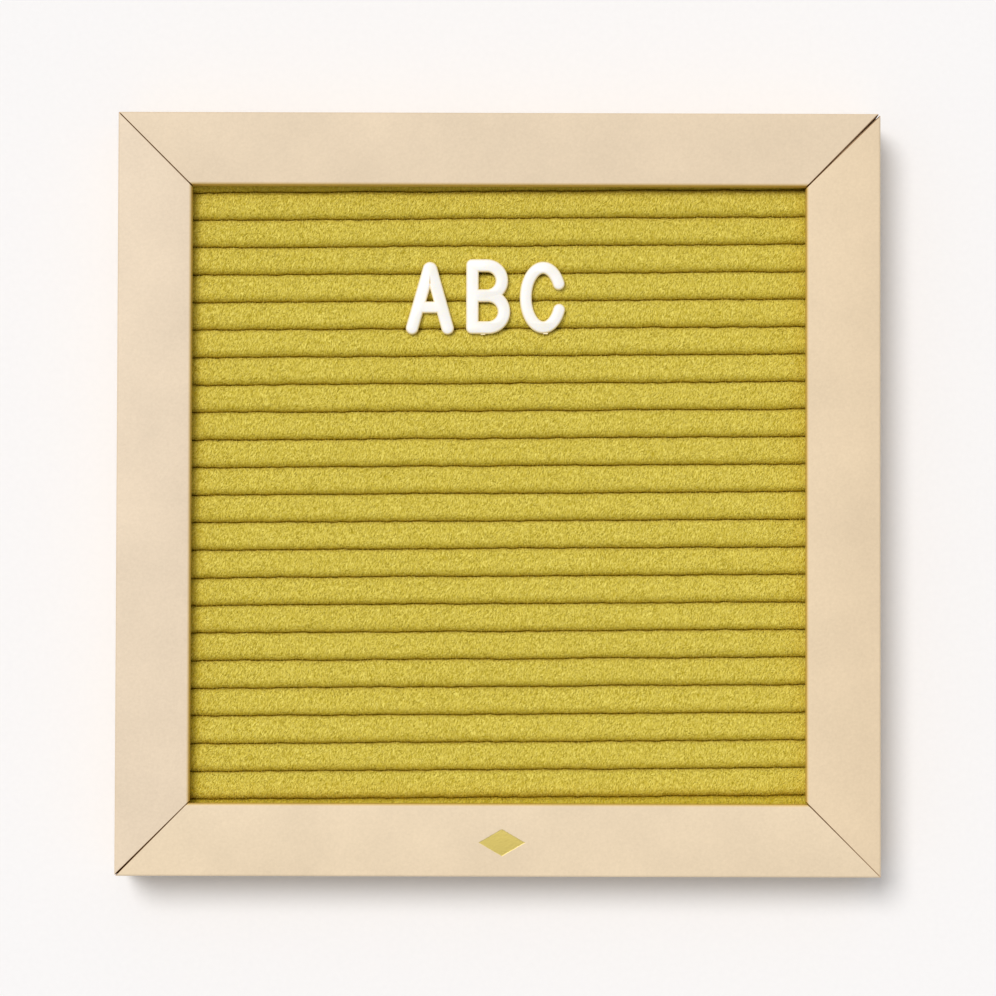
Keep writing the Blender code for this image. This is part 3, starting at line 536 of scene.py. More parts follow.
for line in (front_line, back_line):
    grid = np.zeros((len(felt_path), len(columns), 3))
    for row, (along, height) in enumerate(line):
        middle = felt_path[row][0]
        position = (middle - GROOVE_PLACES[0]) / GROOVE_PITCH
        below = int(min(max(math.floor(position), 0), len(GROOVE_PLACES) - 2))
        share = min(max(position - below, 0.0), 1.0)
        shift = sway[below] * (1 - share) + sway[below + 1] * share
        if position < 0 or position > len(GROOVE_PLACES) - 1:
            shift = shift * max(0.0, 1 - 2 * abs(position - below - share))
        shift = shift + felt_side[row] * opening[felt_groove[row]]
        grid[row, :, 0] = columns
        grid[row, :, 1] = np.clip(along + shift, -half_panel, half_panel)
        grid[row, :, 2] = height
        if height > FELT_TOP - ROLL_DEPTH:
            between_grooves = 0 < position < len(GROOVE_PLACES) - 1
            crown = math.sin(math.pi * share) ** CROWN_EASE if between_grooves else 0.0
            sag = ROLL_SAG * max(0.0, 1 - share / SAG_SHARE) ** 2
            lift = (height - FELT_TOP + ROLL_DEPTH) / ROLL_DEPTH
            for column, x in enumerate(columns):
                lump = noise.noise(Vector((x / LUMP_LENGTHS[0], middle / LUMP_LENGTHS[1], LUMP_DRAW)))
                grid[row, column, 2] += lift * (crown * (ROLL_CROWN + ROLL_LUMPS * lump) - sag)
    felt_grids.append(grid)


def felt_colour(tree, shader, tone):
    """The wool's colour by its tone, with painted shade, darker and yellower, at the rolls' edges and along
    the lips, and deeper painted shade down in the grooves.
    """
    wool = ramp(tree, tone, (0.0, FELT_DARK), (0.5, FELT_MIDDLE), (1.0, FELT_LIGHT))
    press = add_node(tree, "ShaderNodeAttribute", attribute_name="press").outputs["Fac"]
    wool = blend(tree, mathematics(tree, "MULTIPLY", press, SHADE_SHARE), wool, FELT_SHADE)
    height = add_node(tree, "ShaderNodeSeparateXYZ", {0: place_of(tree)}).outputs[2]
    shallow = between(tree, height, 0.0, 1.0, *[FELT_TOP + depth for depth in GROOVE_SHADE_DEPTH])
    tree.links.new(blend(tree, shallow, FELT_GROOVE_SHADE, wool), shader.inputs["Base Color"])


felt, tree, shader = start_material("mustard_wool_felt", Roughness=0.95, Specular_IOR_Level=0.05)
here = place_of(tree)
swirl = add_node(tree, "ShaderNodeTexNoise", {"Vector": here, "Scale": 1 / EDDY_SIZE, "Detail": 1.0})
sway_by = add_node(tree, "ShaderNodeVectorMath", {0: swirl.outputs[1], 1: (0.5, 0.5, 0.5)},
                   operation="SUBTRACT").outputs[0]
bent = add_node(tree, "ShaderNodeVectorMath", {0: sway_by, "Scale": EDDY_SWAY}, operation="SCALE")
wandering = add_node(tree, "ShaderNodeVectorMath", {0: here, 1: bent.outputs[0]}, operation="ADD")
strand_layers = []
for turn in STRAND_TURNS:
    spin = {"Vector": wandering.outputs[0], "Rotation": (0, 0, turn)}
    turned = add_node(tree, "ShaderNodeMapping", spin).outputs[0]
    drawn_out = {"Vector": turned, "Scale": (1, STRAND_STRETCH, 1)}
    thin = add_node(tree, "ShaderNodeMapping", drawn_out).outputs[0]
    strand_layers.append(speckle(tree, thin, STRAND_SIZE, 2.0, 0.5))
strands = mathematics(tree, "MAXIMUM", *strand_layers)
felt_colour(tree, shader, between(tree, strands, 0.0, 1.0, *STRAND_CONTRAST))
bump(tree, shader, (strands, STRAND_DEPTH))

felt_mesh = strip_mesh("folded_felt", *felt_grids)
# The felt's painted shade goes onto its points for the wool's colour.
shade_layer = felt_mesh.attributes.new("press", "FLOAT", "POINT")
shade_layer.data.foreach_set("value", np.tile(felt_painted_shade.ravel(), 2))
felt_mesh.transform(Matrix.Rotation(PANEL_TURN, 4, "Z"))
felt_piece = show_piece(felt_mesh, felt, "felt", "felt_sheet")


# Felt nap
# The brushed face of the same felt: short wool fibres that lie in swirls across the rolls, laid
# in bands from one seed each. A last growth stands off the folds' walls and fuzzes the grooves.
NAP_BANDS = 6
NAP_EDGE = 0.0832
NAP_DEPTH = 0.0016
NAP_MOST = 28500  # fibres in a band
NAP_DENSITY = 9.0e6
NAP_LENGTH = 0.00095
NAP_WIDTH = 0.000185
NAP_ARCH = 0.00010
NAP_SINK = 0.00006
NAP_SWIRL = 0.0040
NAP_LEAN = (0.37, 0.20, 0.5)
NAP_STRAY = 0.10
NAP_LOOSE = 1.2  # how far the loosest fibres stand off the folds
NAP_CALM = 4.0  # a higher power leaves fewer of them loose
LENGTH_SPREAD = (0.55, 1.35)
WIDTH_SPREAD = (0.7, 1.3)
LIFT_SPREAD = (0.5, 1.6)
FUZZ_HEIGHTS = (-0.0021, -0.00062)  # from the rolls' tops, of the folds' walls that carry it
FUZZ_DENSITY = 2.8e6
FUZZ_LENGTH = 0.00105
FUZZ_WIDTH = 0.00021
FUZZ_LOOSE = 2.2
SEEDS = {"length": 11, "width": 12, "lift": 13, "dye": 14, "loose": 15, "first band": 20}

fibre = bpy.data.meshes.new("nap_fibre")
fibre.from_pydata(
    [(-0.5, 0, -NAP_SINK), (0.5, 0, -NAP_SINK), (-0.1, 0.5, NAP_ARCH / 2), (0.1, -0.5, NAP_ARCH)],
    [], [(0, 3, 2), (3, 1, 2), (0, 2, 1), (0, 1, 3)])
fibre_holder = new_object("nap_fibre", fibre)


def drawn(tree, limits, seed):
    """A number for each fibre, drawn evenly between two limits."""
    settings = {2: limits[0], 3: limits[1], "Seed": seed}
    return add_node(tree, "FunctionNodeRandomValue", settings, data_type="FLOAT").outputs[1]


nap_tree = bpy.data.node_groups.new("felt_nap", "GeometryNodeTree")
nap_tree.interface.new_socket("Rolls", in_out="INPUT", socket_type="NodeSocketGeometry")
nap_inputs = {}
for name, kind in (("Fibre", "Object"), ("Density", "Float"), ("Length", "Float"), ("Width", "Float"),
                   ("Swirl size", "Float"), ("Loose", "Float"), ("Seed", "Int"), ("Finish", "Material")):
    socket = nap_tree.interface.new_socket(name, in_out="INPUT", socket_type="NodeSocket" + kind)
    nap_inputs[name] = socket.identifier
nap_tree.interface.new_socket("Nap", in_out="OUTPUT", socket_type="NodeSocketGeometry")
given = nap_tree.nodes.new("NodeGroupInput").outputs
seeded = add_node(nap_tree, "GeometryNodeDistributePointsOnFaces",
                  {"Mesh": given["Rolls"], "Density": given["Density"], "Seed": given["Seed"]})
spot = add_node(nap_tree, "GeometryNodeInputPosition").outputs[0]
scale = mathematics(nap_tree, "DIVIDE", 1.0, given["Swirl size"])
eddy = add_node(nap_tree, "ShaderNodeTexNoise", {"Vector": spot, "Scale": scale, "Detail": 1.5})
centred = add_node(nap_tree, "ShaderNodeVectorMath", {0: eddy.outputs[1], 1: NAP_LEAN},
                   operation="SUBTRACT")
stray = add_node(nap_tree, "FunctionNodeRandomValue",
                 {0: (-NAP_STRAY, -NAP_STRAY, 0.0), 1: (NAP_STRAY, NAP_STRAY, 0.0),
                  "Seed": given["Seed"]}, data_type="FLOAT_VECTOR")
lie = add_node(nap_tree, "ShaderNodeVectorMath", {0: centred.outputs[0], 1: stray.outputs[0]},
               operation="ADD")
chance = drawn(nap_tree, (0.0, given["Loose"]), SEEDS["loose"])
rise = add_node(nap_tree, "ShaderNodeCombineXYZ", {2: mathematics(nap_tree, "POWER", chance, NAP_CALM)})
raised = add_node(nap_tree, "ShaderNodeVectorMath", {0: seeded.outputs["Normal"], 1: rise.outputs[0]},
                  operation="ADD")
stand = add_node(nap_tree, "FunctionNodeAlignRotationToVector", {"Vector": raised.outputs[0]}, axis="Z")
aimed = add_node(nap_tree, "FunctionNodeAlignRotationToVector",
                 {"Rotation": stand.outputs[0], "Vector": lie.outputs[0]}, axis="X", pivot_axis="Z")
reach = drawn(nap_tree, LENGTH_SPREAD, SEEDS["length"])
girth = drawn(nap_tree, WIDTH_SPREAD, SEEDS["width"])
size = add_node(nap_tree, "ShaderNodeCombineXYZ", {
    0: mathematics(nap_tree, "MULTIPLY", reach, given["Length"]),
    1: mathematics(nap_tree, "MULTIPLY", girth, given["Width"]),
    2: drawn(nap_tree, LIFT_SPREAD, SEEDS["lift"])}).outputs[0]
one = add_node(nap_tree, "GeometryNodeObjectInfo", {"Object": given["Fibre"], "As Instance": True})
laid = add_node(nap_tree, "GeometryNodeInstanceOnPoints",
                {"Points": seeded.outputs[0], "Instance": one.outputs["Geometry"],
                 "Rotation": aimed.outputs[0], "Scale": size})
dye = drawn(nap_tree, (0.0, 1.0), SEEDS["dye"])
dyed = add_node(nap_tree, "GeometryNodeStoreNamedAttribute",
                {"Geometry": laid.outputs[0], "Name": "dye", "Value": dye},
                data_type="FLOAT", domain="INSTANCE")
real = add_node(nap_tree, "GeometryNodeRealizeInstances", {0: dyed.outputs[0]})
covered = add_node(nap_tree, "GeometryNodeSetMaterial",
                   {"Geometry": real.outputs[0], "Material": given["Finish"]})
add_node(nap_tree, "NodeGroupOutput", {0: covered.outputs[0]})

nap_wool, tree, shader = start_material("mustard_wool_nap", Roughness=0.9, Specular_IOR_Level=0.08)
felt_colour(tree, shader, add_node(tree, "ShaderNodeAttribute", attribute_name="dye").outputs["Fac"])


def applied(holder, name, *tools):
    """The holder's mesh with its modifiers applied. The holder and its tools are then removed."""
    graph = bpy.context.evaluated_depsgraph_get()
    mesh = bpy.data.meshes.new_from_object(holder.evaluated_get(graph))
    for spent in (holder, *tools):
        bpy.data.objects.remove(spent)
    mesh.name = name
    return mesh


def grow_nap(band, starts, within, density, length, width, loose):
    """One growth of fibres, on the felt's faces that start in one set of points, within another."""
    face_rows, face_columns = np.nonzero(
        starts[:-1, :-1] & within[1:, :-1] & within[:-1, 1:] & within[1:, 1:])
    count = front.shape[1]
    corner = face_rows * count + face_columns
    faces = np.stack([corner, corner + count, corner + count + 1, corner + 1], axis=1)
    used, packed = np.unique(faces, return_inverse=True)
    rolls = bpy.data.meshes.new("nap_rolls")
    rolls.from_pydata(front.reshape(-1, 3)[used].tolist(), [], packed.reshape(-1, 4).tolist())
    # The nap takes the felt's painted shade too.
    shade_layer = rolls.attributes.new("press", "FLOAT", "POINT")
    shade_layer.data.foreach_set("value", felt_painted_shade.ravel()[used])
    if rolls.polygons[0].normal.z < 0:
        rolls.flip_normals()
    rolls.transform(Matrix.Rotation(PANEL_TURN, 4, "Z"))
    area = sum(face.area for face in rolls.polygons)
    ground = new_object("nap_rolls", rolls)
    growth = ground.modifiers.new("nap", "NODES")
    growth.node_group = nap_tree
    settings = {"Fibre": fibre_holder, "Density": min(density, NAP_MOST / area), "Length": length,
                "Width": width, "Swirl size": NAP_SWIRL, "Loose": loose,
                "Seed": SEEDS["first band"] + band, "Finish": nap_wool}
    for name, value in settings.items():
        growth[nap_inputs[name]] = value
    nap = applied(ground, "felt_nap_" + str(band + 1))
    return show_piece(nap, nap_wool, "felt")


front = felt_grids[0]
in_sight = (np.abs(front[..., 0]) < NAP_EDGE) & (np.abs(front[..., 1]) < NAP_EDGE)
inside = in_sight & (front[..., 2] > FELT_TOP - NAP_DEPTH)
fold_walls = in_sight & (front[..., 2] < FELT_TOP + FUZZ_HEIGHTS[1])
fold_walls &= front[..., 2] > FELT_TOP + FUZZ_HEIGHTS[0]
for band in range(NAP_BANDS):
    low = -NAP_EDGE + 2 * NAP_EDGE * band / NAP_BANDS
    high = low + 2 * NAP_EDGE / NAP_BANDS
    rows = (front[:, 0, 1] >= low) & (front[:, 0, 1] < high)
    grow_nap(band, inside & rows[:, None], inside,
                               NAP_DENSITY, NAP_LENGTH, NAP_WIDTH, NAP_LOOSE)
grow_nap(NAP_BANDS, fold_walls, fold_walls,
                           FUZZ_DENSITY, FUZZ_LENGTH, FUZZ_WIDTH, FUZZ_LOOSE)
bpy.data.objects.remove(fibre_holder)


# Letters
# White letters moulded in one piece with flat tabs behind, which push into the grooves, and
# with the small nub that the mould's gate leaves. Their edges are rounded and satin.
LETTER_BACK = FELT_TOP + 0.0003
LETTER_THICKNESS = 0.0020
PLASTIC_WHITE = (0.90, 0.88, 0.845, 1)
PLASTIC_CREAM = (0.885, 0.855, 0.785, 1)
# Painted light: the letters' walls are a warm bright colour for light through the plastic and thrown back by
# the felt.
PLASTIC_WALL_GLOW = (1.0, 0.86, 0.56, 1)
WALL_GLOW_REACH = (0.00026, 0.00001)  # below the face, where the walls' painted warm light is full, and gone
FLOW_SIZE = 0.0030
PEEL_SIZE = 0.0007
PEEL_DEPTH = 0.000008
plastic, tree, shader = start_material("warm_white_plastic", Roughness=0.38, IOR=1.5,
                                       Subsurface_Weight=0.12, Subsurface_Scale=0.0006)
shader.inputs["Subsurface Radius"].default_value = (1.0, 0.8, 0.45)
flow = speckle(tree, place_of(tree, (1, 0.5, 1)), FLOW_SIZE, 2.0)
orange_peel = speckle(tree, place_of(tree), PEEL_SIZE, 1.0)
colour = ramp(tree, flow, (0.25, PLASTIC_CREAM), (0.6, PLASTIC_WHITE))
height = add_node(tree, "ShaderNodeSeparateXYZ", {0: place_of(tree)}).outputs[2]
face = LETTER_BACK + LETTER_THICKNESS
flat = between(tree, height, 0.0, 1.0, *[face - reach for reach in WALL_GLOW_REACH])
tree.links.new(blend(tree, flat, PLASTIC_WALL_GLOW, colour), shader.inputs["Base Color"])
tree.links.new(between(tree, flow, 0.32, 0.44), shader.inputs["Roughness"])
bump(tree, shader, (orange_peel, PEEL_DEPTH))

LETTER_RINGS = (  # how far in from the drawn outline and how high, up the wall and over the edge
    (-0.00008, 0.0), (-0.00014, 0.00006), (-0.00012, 0.00150), (-0.00007, 0.00164), (0.00010, 0.00186),
    (0.00022, 0.00194), (0.00040, 0.0020))
TAB_THICKNESS = 0.0009
TAB_DEPTH = 0.0034
NUB_SIZE = (0.0012, 0.00036, 0.0008)  # width, how far it stands out, height
NUB_ROOT = 0.0015
NUB_RISE = 0.0006
A_STROKE = 0.00309
A_FOOT = Vector((0.00475, 0.00006))
A_APEX = Vector((0, 0.01580))
A_APEX_RADIUS = 0.00185
A_BAR = (0.00422, 0.00703)
A_CREASE = (0.0026, 0.00030, 0.0007)  # height, half width and depth of the crease under the apex
A_CREASE_ROOT = 0.0008
B_STROKE = 0.00312
B_CORNER = 0.0015
B_UPPER_BOWL = (0.00540, 0.01273, 0.00560)
B_LOWER_BOWL = (0.00576, 0.00443, 0.00582)
C_STROKE = 0.00295
C_MIDDLE = 0.00808
C_HALF_WIDTH = 0.00466
C_HALF_HEIGHT = 0.00798
C_MOUTH = (math.radians(27.3), math.radians(24.5))
LETTER_DROP = 0.00005  # how far the feet hang below the middle of their groove
LETTER_LINE = GROOVE_PLACES[LETTER_GROOVE] - LETTER_DROP
LETTER_PLACES = {"letter_a": -0.01850, "letter_b": -0.00871, "letter_c": 0.01178}
LETTER_TABS = {  # across the letter, which groove up, length
    "letter_a": ((-0.00475, 0, 0.0022), (0.00475, 0, 0.0022), (0.0, 2, 0.0026)),
    "letter_b": ((0.0060, 0, 0.0030), (0.00152, 2, 0.0022)),
    "letter_c": ((0.0, 0, 0.0030), (-0.0028, 2, 0.0022)),
}
LETTER_NUBS = {"letter_b": (0.0044, B_LOWER_BOWL[1] - B_LOWER_BOWL[2]),
               "letter_c": (0.00063, C_MIDDLE - C_HALF_HEIGHT - C_STROKE / 2)}


def letter_a(inset):
    """Two legs from a rounded apex to round feet, and a bar between them."""
    half = A_STROKE / 2 - inset
    down = A_FOOT - A_APEX
    lean = math.atan2(down.x, -down.y) - math.asin((A_APEX_RADIUS - A_STROKE / 2) / down.length)
    normal = Vector((math.cos(lean), math.sin(lean)))
    reach = A_FOOT.dot(normal) - half
    degrees = math.degrees(lean)
    right = arc(A_APEX, A_APEX_RADIUS - inset, 90, degrees, 14)
    right += arc(A_FOOT, half, degrees, degrees - 180, 20)
    low, high = A_BAR[0] + inset, A_BAR[1] - inset
    right.append(((reach - low * normal.y) / normal.x, low))
    side = (reach - high * normal.y) / normal.x
    return [right + [(-x, y) for x, y in reversed(right)],
            [(side, high), (0, reach / normal.y), (-side, high)]]


def letter_b(inset):
    """A stem and two round bowls that share their middle bar."""
    low = (*B_LOWER_BOWL[:2], B_LOWER_BOWL[2] - inset)
    high = (*B_UPPER_BOWL[:2], B_UPPER_BOWL[2] - inset)
    gap = Vector(high[:2]) - Vector(low[:2])
    aim = math.atan2(gap.y, gap.x)
    waist = []
    for here, there, facing in ((low, high, aim), (high, low, aim + math.pi)):
        share = (here[2] ** 2 + gap.length ** 2 - there[2] ** 2) / (2 * here[2] * gap.length)
        waist.append(math.degrees(facing + (-1 if here is low else 1) * math.acos(share)))
    corner = B_CORNER - inset
    left = inset + corner
    outer = arc((left, low[1] - low[2] + corner), corner, 180, 270, 12)
    outer += arc(low, low[2], -90, waist[0], 36)
    outer += arc(high, high[2], waist[1] - 360, 90, 36)
    outer += arc((left, high[1] + high[2] - corner), corner, 90, 180, 12)
    counters = []
    side = B_STROKE - inset
    for bowl in (low, high):
        radius = bowl[2] - B_STROKE + 2 * inset
        stem_side = [(side, bowl[1] + radius), (side, bowl[1] - radius)]
        counters.append(stem_side + arc(bowl, radius, -90, 90, 30))
    return [outer] + counters


def letter_c(inset):
    """One stroke round most of an oval, with round ends at its mouth."""
    half = C_STROKE / 2 - inset
    turns = np.linspace(C_MOUTH[0], 2 * math.pi - C_MOUTH[1], 91)
    across = np.stack([np.cos(turns), np.sin(turns)], axis=1)
    line = across * (C_HALF_WIDTH, C_HALF_HEIGHT) + (0, C_MIDDLE)
    normals = across * (C_HALF_HEIGHT, C_HALF_WIDTH)
    normals /= np.linalg.norm(normals, axis=1)[:, None]
    aims = np.degrees(np.arctan2(normals[:, 1], normals[:, 0]))
    outline = [tuple(point) for point in line + normals * half]
    outline += arc(line[-1], half, aims[-1], aims[-1] + 180, 20)[1:-1]
    outline += [tuple(point) for point in (line - normals * half)[::-1]]
    outline += arc(line[0], half, aims[0] + 180, aims[0] + 360, 20)[1:-1]
    return [outline]


def mould_letter(name, draw):
    """A letter's body with drafted walls, and its tabs and gate nub in one piece with it."""
    skin = bmesh.new()
    levels = [draw(inset) for inset, _ in LETTER_RINGS]
    loops = []
    for number in range(len(levels[0])):
        rings = []
        for (_, rise), outlines in zip(LETTER_RINGS, levels):
            rings.append([skin.verts.new((x, y, LETTER_BACK + rise)) for x, y in outlines[number]])
        for low, high in zip(rings, rings[1:]):
            for k in range(len(low)):
                skin.faces.new((low[k - 1], low[k], high[k], high[k - 1]))
        loops.append(rings)
    for level in (0, -1):
        corners = [vertex for rings in loops for vertex in rings[level]]
        filled = tessellate_polygon([[vertex.co for vertex in rings[level]] for rings in loops])
        for triangle in filled:
            skin.faces.new([corners[k] for k in triangle])
    bmesh.ops.recalc_face_normals(skin, faces=skin.faces)
    body = bpy.data.meshes.new(name)
    skin.to_mesh(body)
    skin.free()
    blocks = []
    for across, row, length in LETTER_TABS[name]:
        blocks.append(((across - length / 2, row * GROOVE_PITCH - TAB_THICKNESS / 2, LETTER_BACK - TAB_DEPTH),
                       (length, TAB_THICKNESS, TAB_DEPTH + LETTER_THICKNESS / 2)))
    if name in LETTER_NUBS:
        across, edge = LETTER_NUBS[name]
        width, stand, height = NUB_SIZE
        blocks.append(((across - width / 2, edge - stand, LETTER_BACK + NUB_RISE),
                       (width, stand + NUB_ROOT, height)))
    holder = new_object(name, body)
    tools = []
    additions = bpy.data.collections.new(name + "_tabs")
    for low, size in blocks:
        cube = bmesh.new()
        bmesh.ops.create_cube(cube, size=1.0)
        for vertex in cube.verts:
            vertex.co = [start + (part + 0.5) * span for start, part, span in zip(low, vertex.co, size)]
        block = bpy.data.meshes.new(name + "_tab")
        cube.to_mesh(block)
        cube.free()
        additions.objects.link(bpy.data.objects.new(name + "_tab", block))
    join = holder.modifiers.new("tabs", "BOOLEAN")
    join.operation = "UNION"
    join.operand_type = "COLLECTION"
    join.collection = additions
    if name == "letter_a":
        reach, width, depth = A_CREASE
        foot = max(y for _, y in levels[-1][1]) - A_CREASE_ROOT
        face = LETTER_BACK + LETTER_THICKNESS
        wedge = bpy.data.meshes.new("crease")
        wedge.from_pydata([(-width, foot, face + width), (width, foot, face + width), (0, foot, face - depth),
                           (0, foot + A_CREASE_ROOT + reach, face + width)], [],
                          [(0, 2, 1), (0, 1, 3), (1, 2, 3), (2, 0, 3)])
        crease = new_object("crease", wedge)
        score = holder.modifiers.new("crease", "BOOLEAN")
        score.operation = "DIFFERENCE"
        score.object = crease
        tools.append(crease)
    finished = applied(holder, name + "_moulded", *tools, *additions.objects)
    bpy.data.collections.remove(additions)
    place = LETTER_PLACES[name]
    line = (LETTER_LINE + place * math.sin(PANEL_TURN)) / math.cos(PANEL_TURN)
    finished.transform(Matrix.Translation((place, line, 0)))
    return finished


for name, draw in (("letter_a", letter_a), ("letter_b", letter_b), ("letter_c", letter_c)):
    show_piece(mould_letter(name, draw), plastic, "letter_plastic", name, smooth_below=35)


# Backing board
# Pressed hardboard, smooth on the side that shows behind the frame. It closes the rabbet and
# carries the ribbed board, and the glazing points hold it.
HARDBOARD_LIGHT = (0.30, 0.175, 0.085, 1)
HARDBOARD_DARK = (0.17, 0.09, 0.042, 1)
FLAKE_SIZE = 0.0009
FLAKE_DEPTH = 0.00004
STAIN_SIZE = 0.02
BACKING_EDGE = 0.0003
hardboard, tree, shader = start_material("pressed_hardboard", Roughness=0.6)
flakes = speckle(tree, place_of(tree, (1, 0.35, 1), 0.4), FLAKE_SIZE, 5.0, 0.7)
stains = speckle(tree, place_of(tree), STAIN_SIZE, 3.0)
tone = mathematics(tree, "MULTIPLY_ADD", flakes, 0.7, mathematics(tree, "MULTIPLY", stains, 0.3))
paint(tree, shader, tone, (0.35, HARDBOARD_DARK), (0.65, HARDBOARD_LIGHT))
tree.links.new(between(tree, stains, 0.5, 0.7), shader.inputs["Roughness"])
bump(tree, shader, (flakes, FLAKE_DEPTH))


def softened(name, width, segments, limit=30):
    """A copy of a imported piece, its loose faces merged and its edges rounded."""
    mesh = nodes[name].data.copy()
    merge = bmesh.new()
    merge.from_mesh(mesh)
    bmesh.ops.remove_doubles(merge, verts=merge.verts, dist=1e-6)
    bmesh.ops.dissolve_limit(merge, angle_limit=math.radians(1), verts=merge.verts, edges=merge.edges)
    merge.to_mesh(mesh)
    merge.free()
    holder = new_object(name + "_finished", mesh)
    rounding = holder.modifiers.new("rounding", "BEVEL")
    rounding.width = width
    rounding.segments = segments
    rounding.limit_method = "ANGLE"
    rounding.angle_limit = math.radians(limit)
    return applied(holder, name + "_finished")


backing = softened("backing_board", BACKING_EDGE, 2)
show_piece(backing, hardboard, "hardboard", "backing_board", smooth_below=40)


# Sawtooth hanger and its nails
# A brass plated strip, pressed so that its toothed middle stands off the top rail, and held by
# a round-headed nail through each ear. Handling has dulled the plating.
BRASS_LIGHT = (0.83, 0.64, 0.30, 1)
BRASS_DARK = (0.55, 0.39, 0.16, 1)
TARNISH_SIZE = 0.0045
BRUSHING_SIZE = 0.00012
BRUSHING_DEPTH = 0.000006
HANGER_EDGE = 0.00012
NAIL_EDGE = 0.0001
brass, tree, shader = start_material("brass_plate", Metallic=1.0)
tarnish = speckle(tree, place_of(tree), TARNISH_SIZE, 4.0, 0.65)
brushing = speckle(tree, place_of(tree, (0.06, 1, 1)), BRUSHING_SIZE, 2.0)
paint(tree, shader, tarnish, (0.3, BRASS_DARK), (0.6, BRASS_LIGHT))
tree.links.new(between(tree, tarnish, 0.42, 0.26), shader.inputs["Roughness"])
bump(tree, shader, (brushing, BRUSHING_DEPTH))
hanger = softened("sawtooth_hanger", HANGER_EDGE, 2)
show_piece(hanger, brass, "brassed_steel", "sawtooth_hanger", smooth_below=40)
for nail in ("hanger_nail_left", "hanger_nail_right"):
    show_piece(softened(nail, NAIL_EDGE, 2, limit=35), brass, "brassed_steel", nail, smooth_below=40)


# Bumpers
# Four stick-on silicone domes, on which the board lies and hangs clear of the wall. They are
# cast, milky and slightly see-through.
BUMPER_RADIUS = 0.0040
BUMPER_FLAT = 0.0022
SILICONE_LIGHT = (0.74, 0.74, 0.72, 1)
SILICONE_DARK = (0.60, 0.60, 0.585, 1)
HAZE_SIZE = 0.002
HAZE_DEPTH = 0.00002
silicone, tree, shader = start_material("milky_silicone", Roughness=0.35, IOR=1.41,
                                        Transmission_Weight=0.35, Subsurface_Weight=0.3,
                                        Subsurface_Scale=0.002)
haze = speckle(tree, place_of(tree), HAZE_SIZE, 2.0)
paint(tree, shader, haze, (0.3, SILICONE_DARK), (0.7, SILICONE_LIGHT))
bump(tree, shader, (haze, HAZE_DEPTH))
for name in sorted(nodes):
    if not name.startswith("bumper_"):
        continue
    low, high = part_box(name)
    centre = (low + high) / 2
    top = high.z
    height = top / 2
    side = arc((BUMPER_FLAT, height), BUMPER_RADIUS - BUMPER_FLAT, 0, -90, 10)
    squash = height / (BUMPER_RADIUS - BUMPER_FLAT)
    profile = [(0, top), (BUMPER_RADIUS, top)]
    profile += [(radius, height + (z - height) * squash) for radius, z in side] + [(0, 0)]
    dome = bmesh.new()
    line = [dome.verts.new((radius, 0, z)) for radius, z in profile]
    edges = [dome.edges.new(pair) for pair in zip(line, line[1:])]
    bmesh.ops.spin(dome, geom=line + edges, axis=(0, 0, 1), cent=(0, 0, 0), angle=2 * math.pi, steps=48)
    bmesh.ops.remove_doubles(dome, verts=dome.verts, dist=1e-6)
    bmesh.ops.recalc_face_normals(dome, faces=dome.faces)
    mesh = bpy.data.meshes.new(name + "_dome")
    dome.to_mesh(mesh)
    dome.free()
    mesh.transform(Matrix.Translation((centre.x, centre.y, 0)))
    show_piece(mesh, silicone, "rubber", name, smooth_below=50)


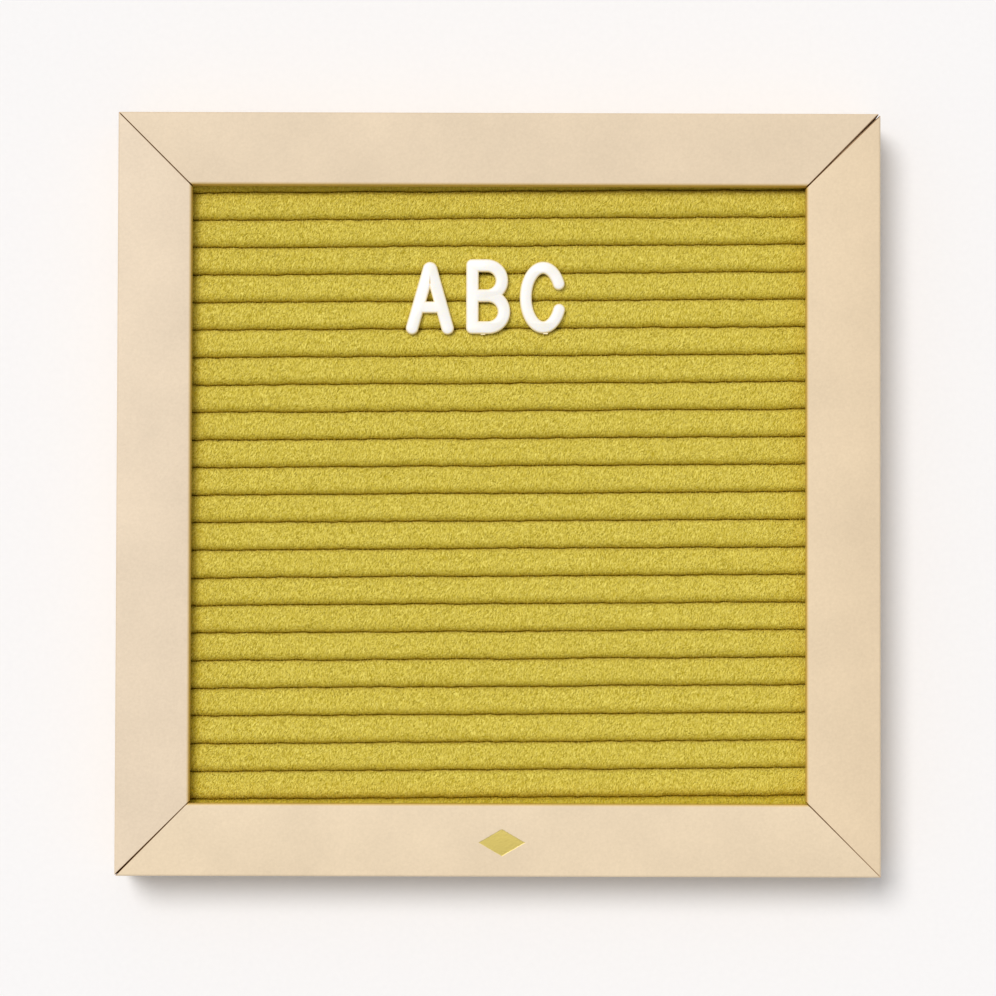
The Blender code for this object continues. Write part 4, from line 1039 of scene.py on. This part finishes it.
# Studio
# Plain pale paper under the board, one wide and distant soft light from the upper left over an
# even fill, and the camera at the place that the photograph's corners give.
FLOOR_SIZE = 3.0
FLOOR_COLOUR = (0.895, 0.885, 0.893, 1)
FLOOR_SHADE = 0.985
PULP_SIZE = 0.0015
PULP_DEPTH = 0.00001
FILL = 0.50
FILL_COLOUR = (1.0, 0.995, 0.985, 1)
KEY_STRENGTH = 1.98
KEY_COLOUR = (1.0, 0.99, 0.975)
KEY_SPREAD = math.radians(24)
KEY_ELEVATION = math.radians(66)
KEY_BEARING = math.radians(132)
CAMERA_PLACE = (-0.00232, -0.02535, 0.9010)
CAMERA_TURN = (math.radians(1.574), math.radians(-0.144), math.radians(0.149))
SENSOR_WIDTH = 36
PICTURE_PIXELS = 996
CAMERA_PIXELS = 3309.2  # from the lens to the picture, in the picture's pixels

paper, tree, shader = start_material("pale_paper", Roughness=0.9, Specular_IOR_Level=0.1)
pulp = speckle(tree, place_of(tree), PULP_SIZE, 4.0)
shaded = (*[channel * FLOOR_SHADE for channel in FLOOR_COLOUR[:3]], 1)
paint(tree, shader, pulp, (0.3, shaded), (0.7, FLOOR_COLOUR))
bump(tree, shader, (pulp, PULP_DEPTH))
half = FLOOR_SIZE / 2
floor_mesh = bpy.data.meshes.new("floor")
corners = [(-half, -half, 0), (half, -half, 0), (half, half, 0), (-half, half, 0)]
floor_mesh.from_pydata(corners, [], [(0, 1, 2, 3)])
floor_mesh.materials.append(paper)
new_object("floor", floor_mesh)

world = bpy.data.worlds.new("even_fill")
world.use_nodes = True
world.node_tree.nodes["Background"].inputs["Color"].default_value = FILL_COLOUR
world.node_tree.nodes["Background"].inputs["Strength"].default_value = FILL
bpy.context.scene.world = world

lamp = bpy.data.lights.new("softbox", "SUN")
lamp.energy = KEY_STRENGTH
lamp.angle = KEY_SPREAD
lamp.color = KEY_COLOUR
softbox = new_object("softbox", lamp)
aim = Vector((math.cos(KEY_ELEVATION) * math.cos(KEY_BEARING),
              math.cos(KEY_ELEVATION) * math.sin(KEY_BEARING), math.sin(KEY_ELEVATION)))
softbox.location = aim
softbox.rotation_euler = aim.to_track_quat("Z", "Y").to_euler()

lens = bpy.data.cameras.new("camera")
lens.lens = CAMERA_PIXELS * SENSOR_WIDTH / PICTURE_PIXELS
lens.sensor_width = SENSOR_WIDTH
lens.clip_end = 10
camera = new_object("camera", lens)
camera.location = CAMERA_PLACE
camera.rotation_euler = CAMERA_TURN
bpy.context.scene.camera = camera
bpy.context.scene.view_settings.view_transform = "Standard"

bpy.context.view_layer.update()
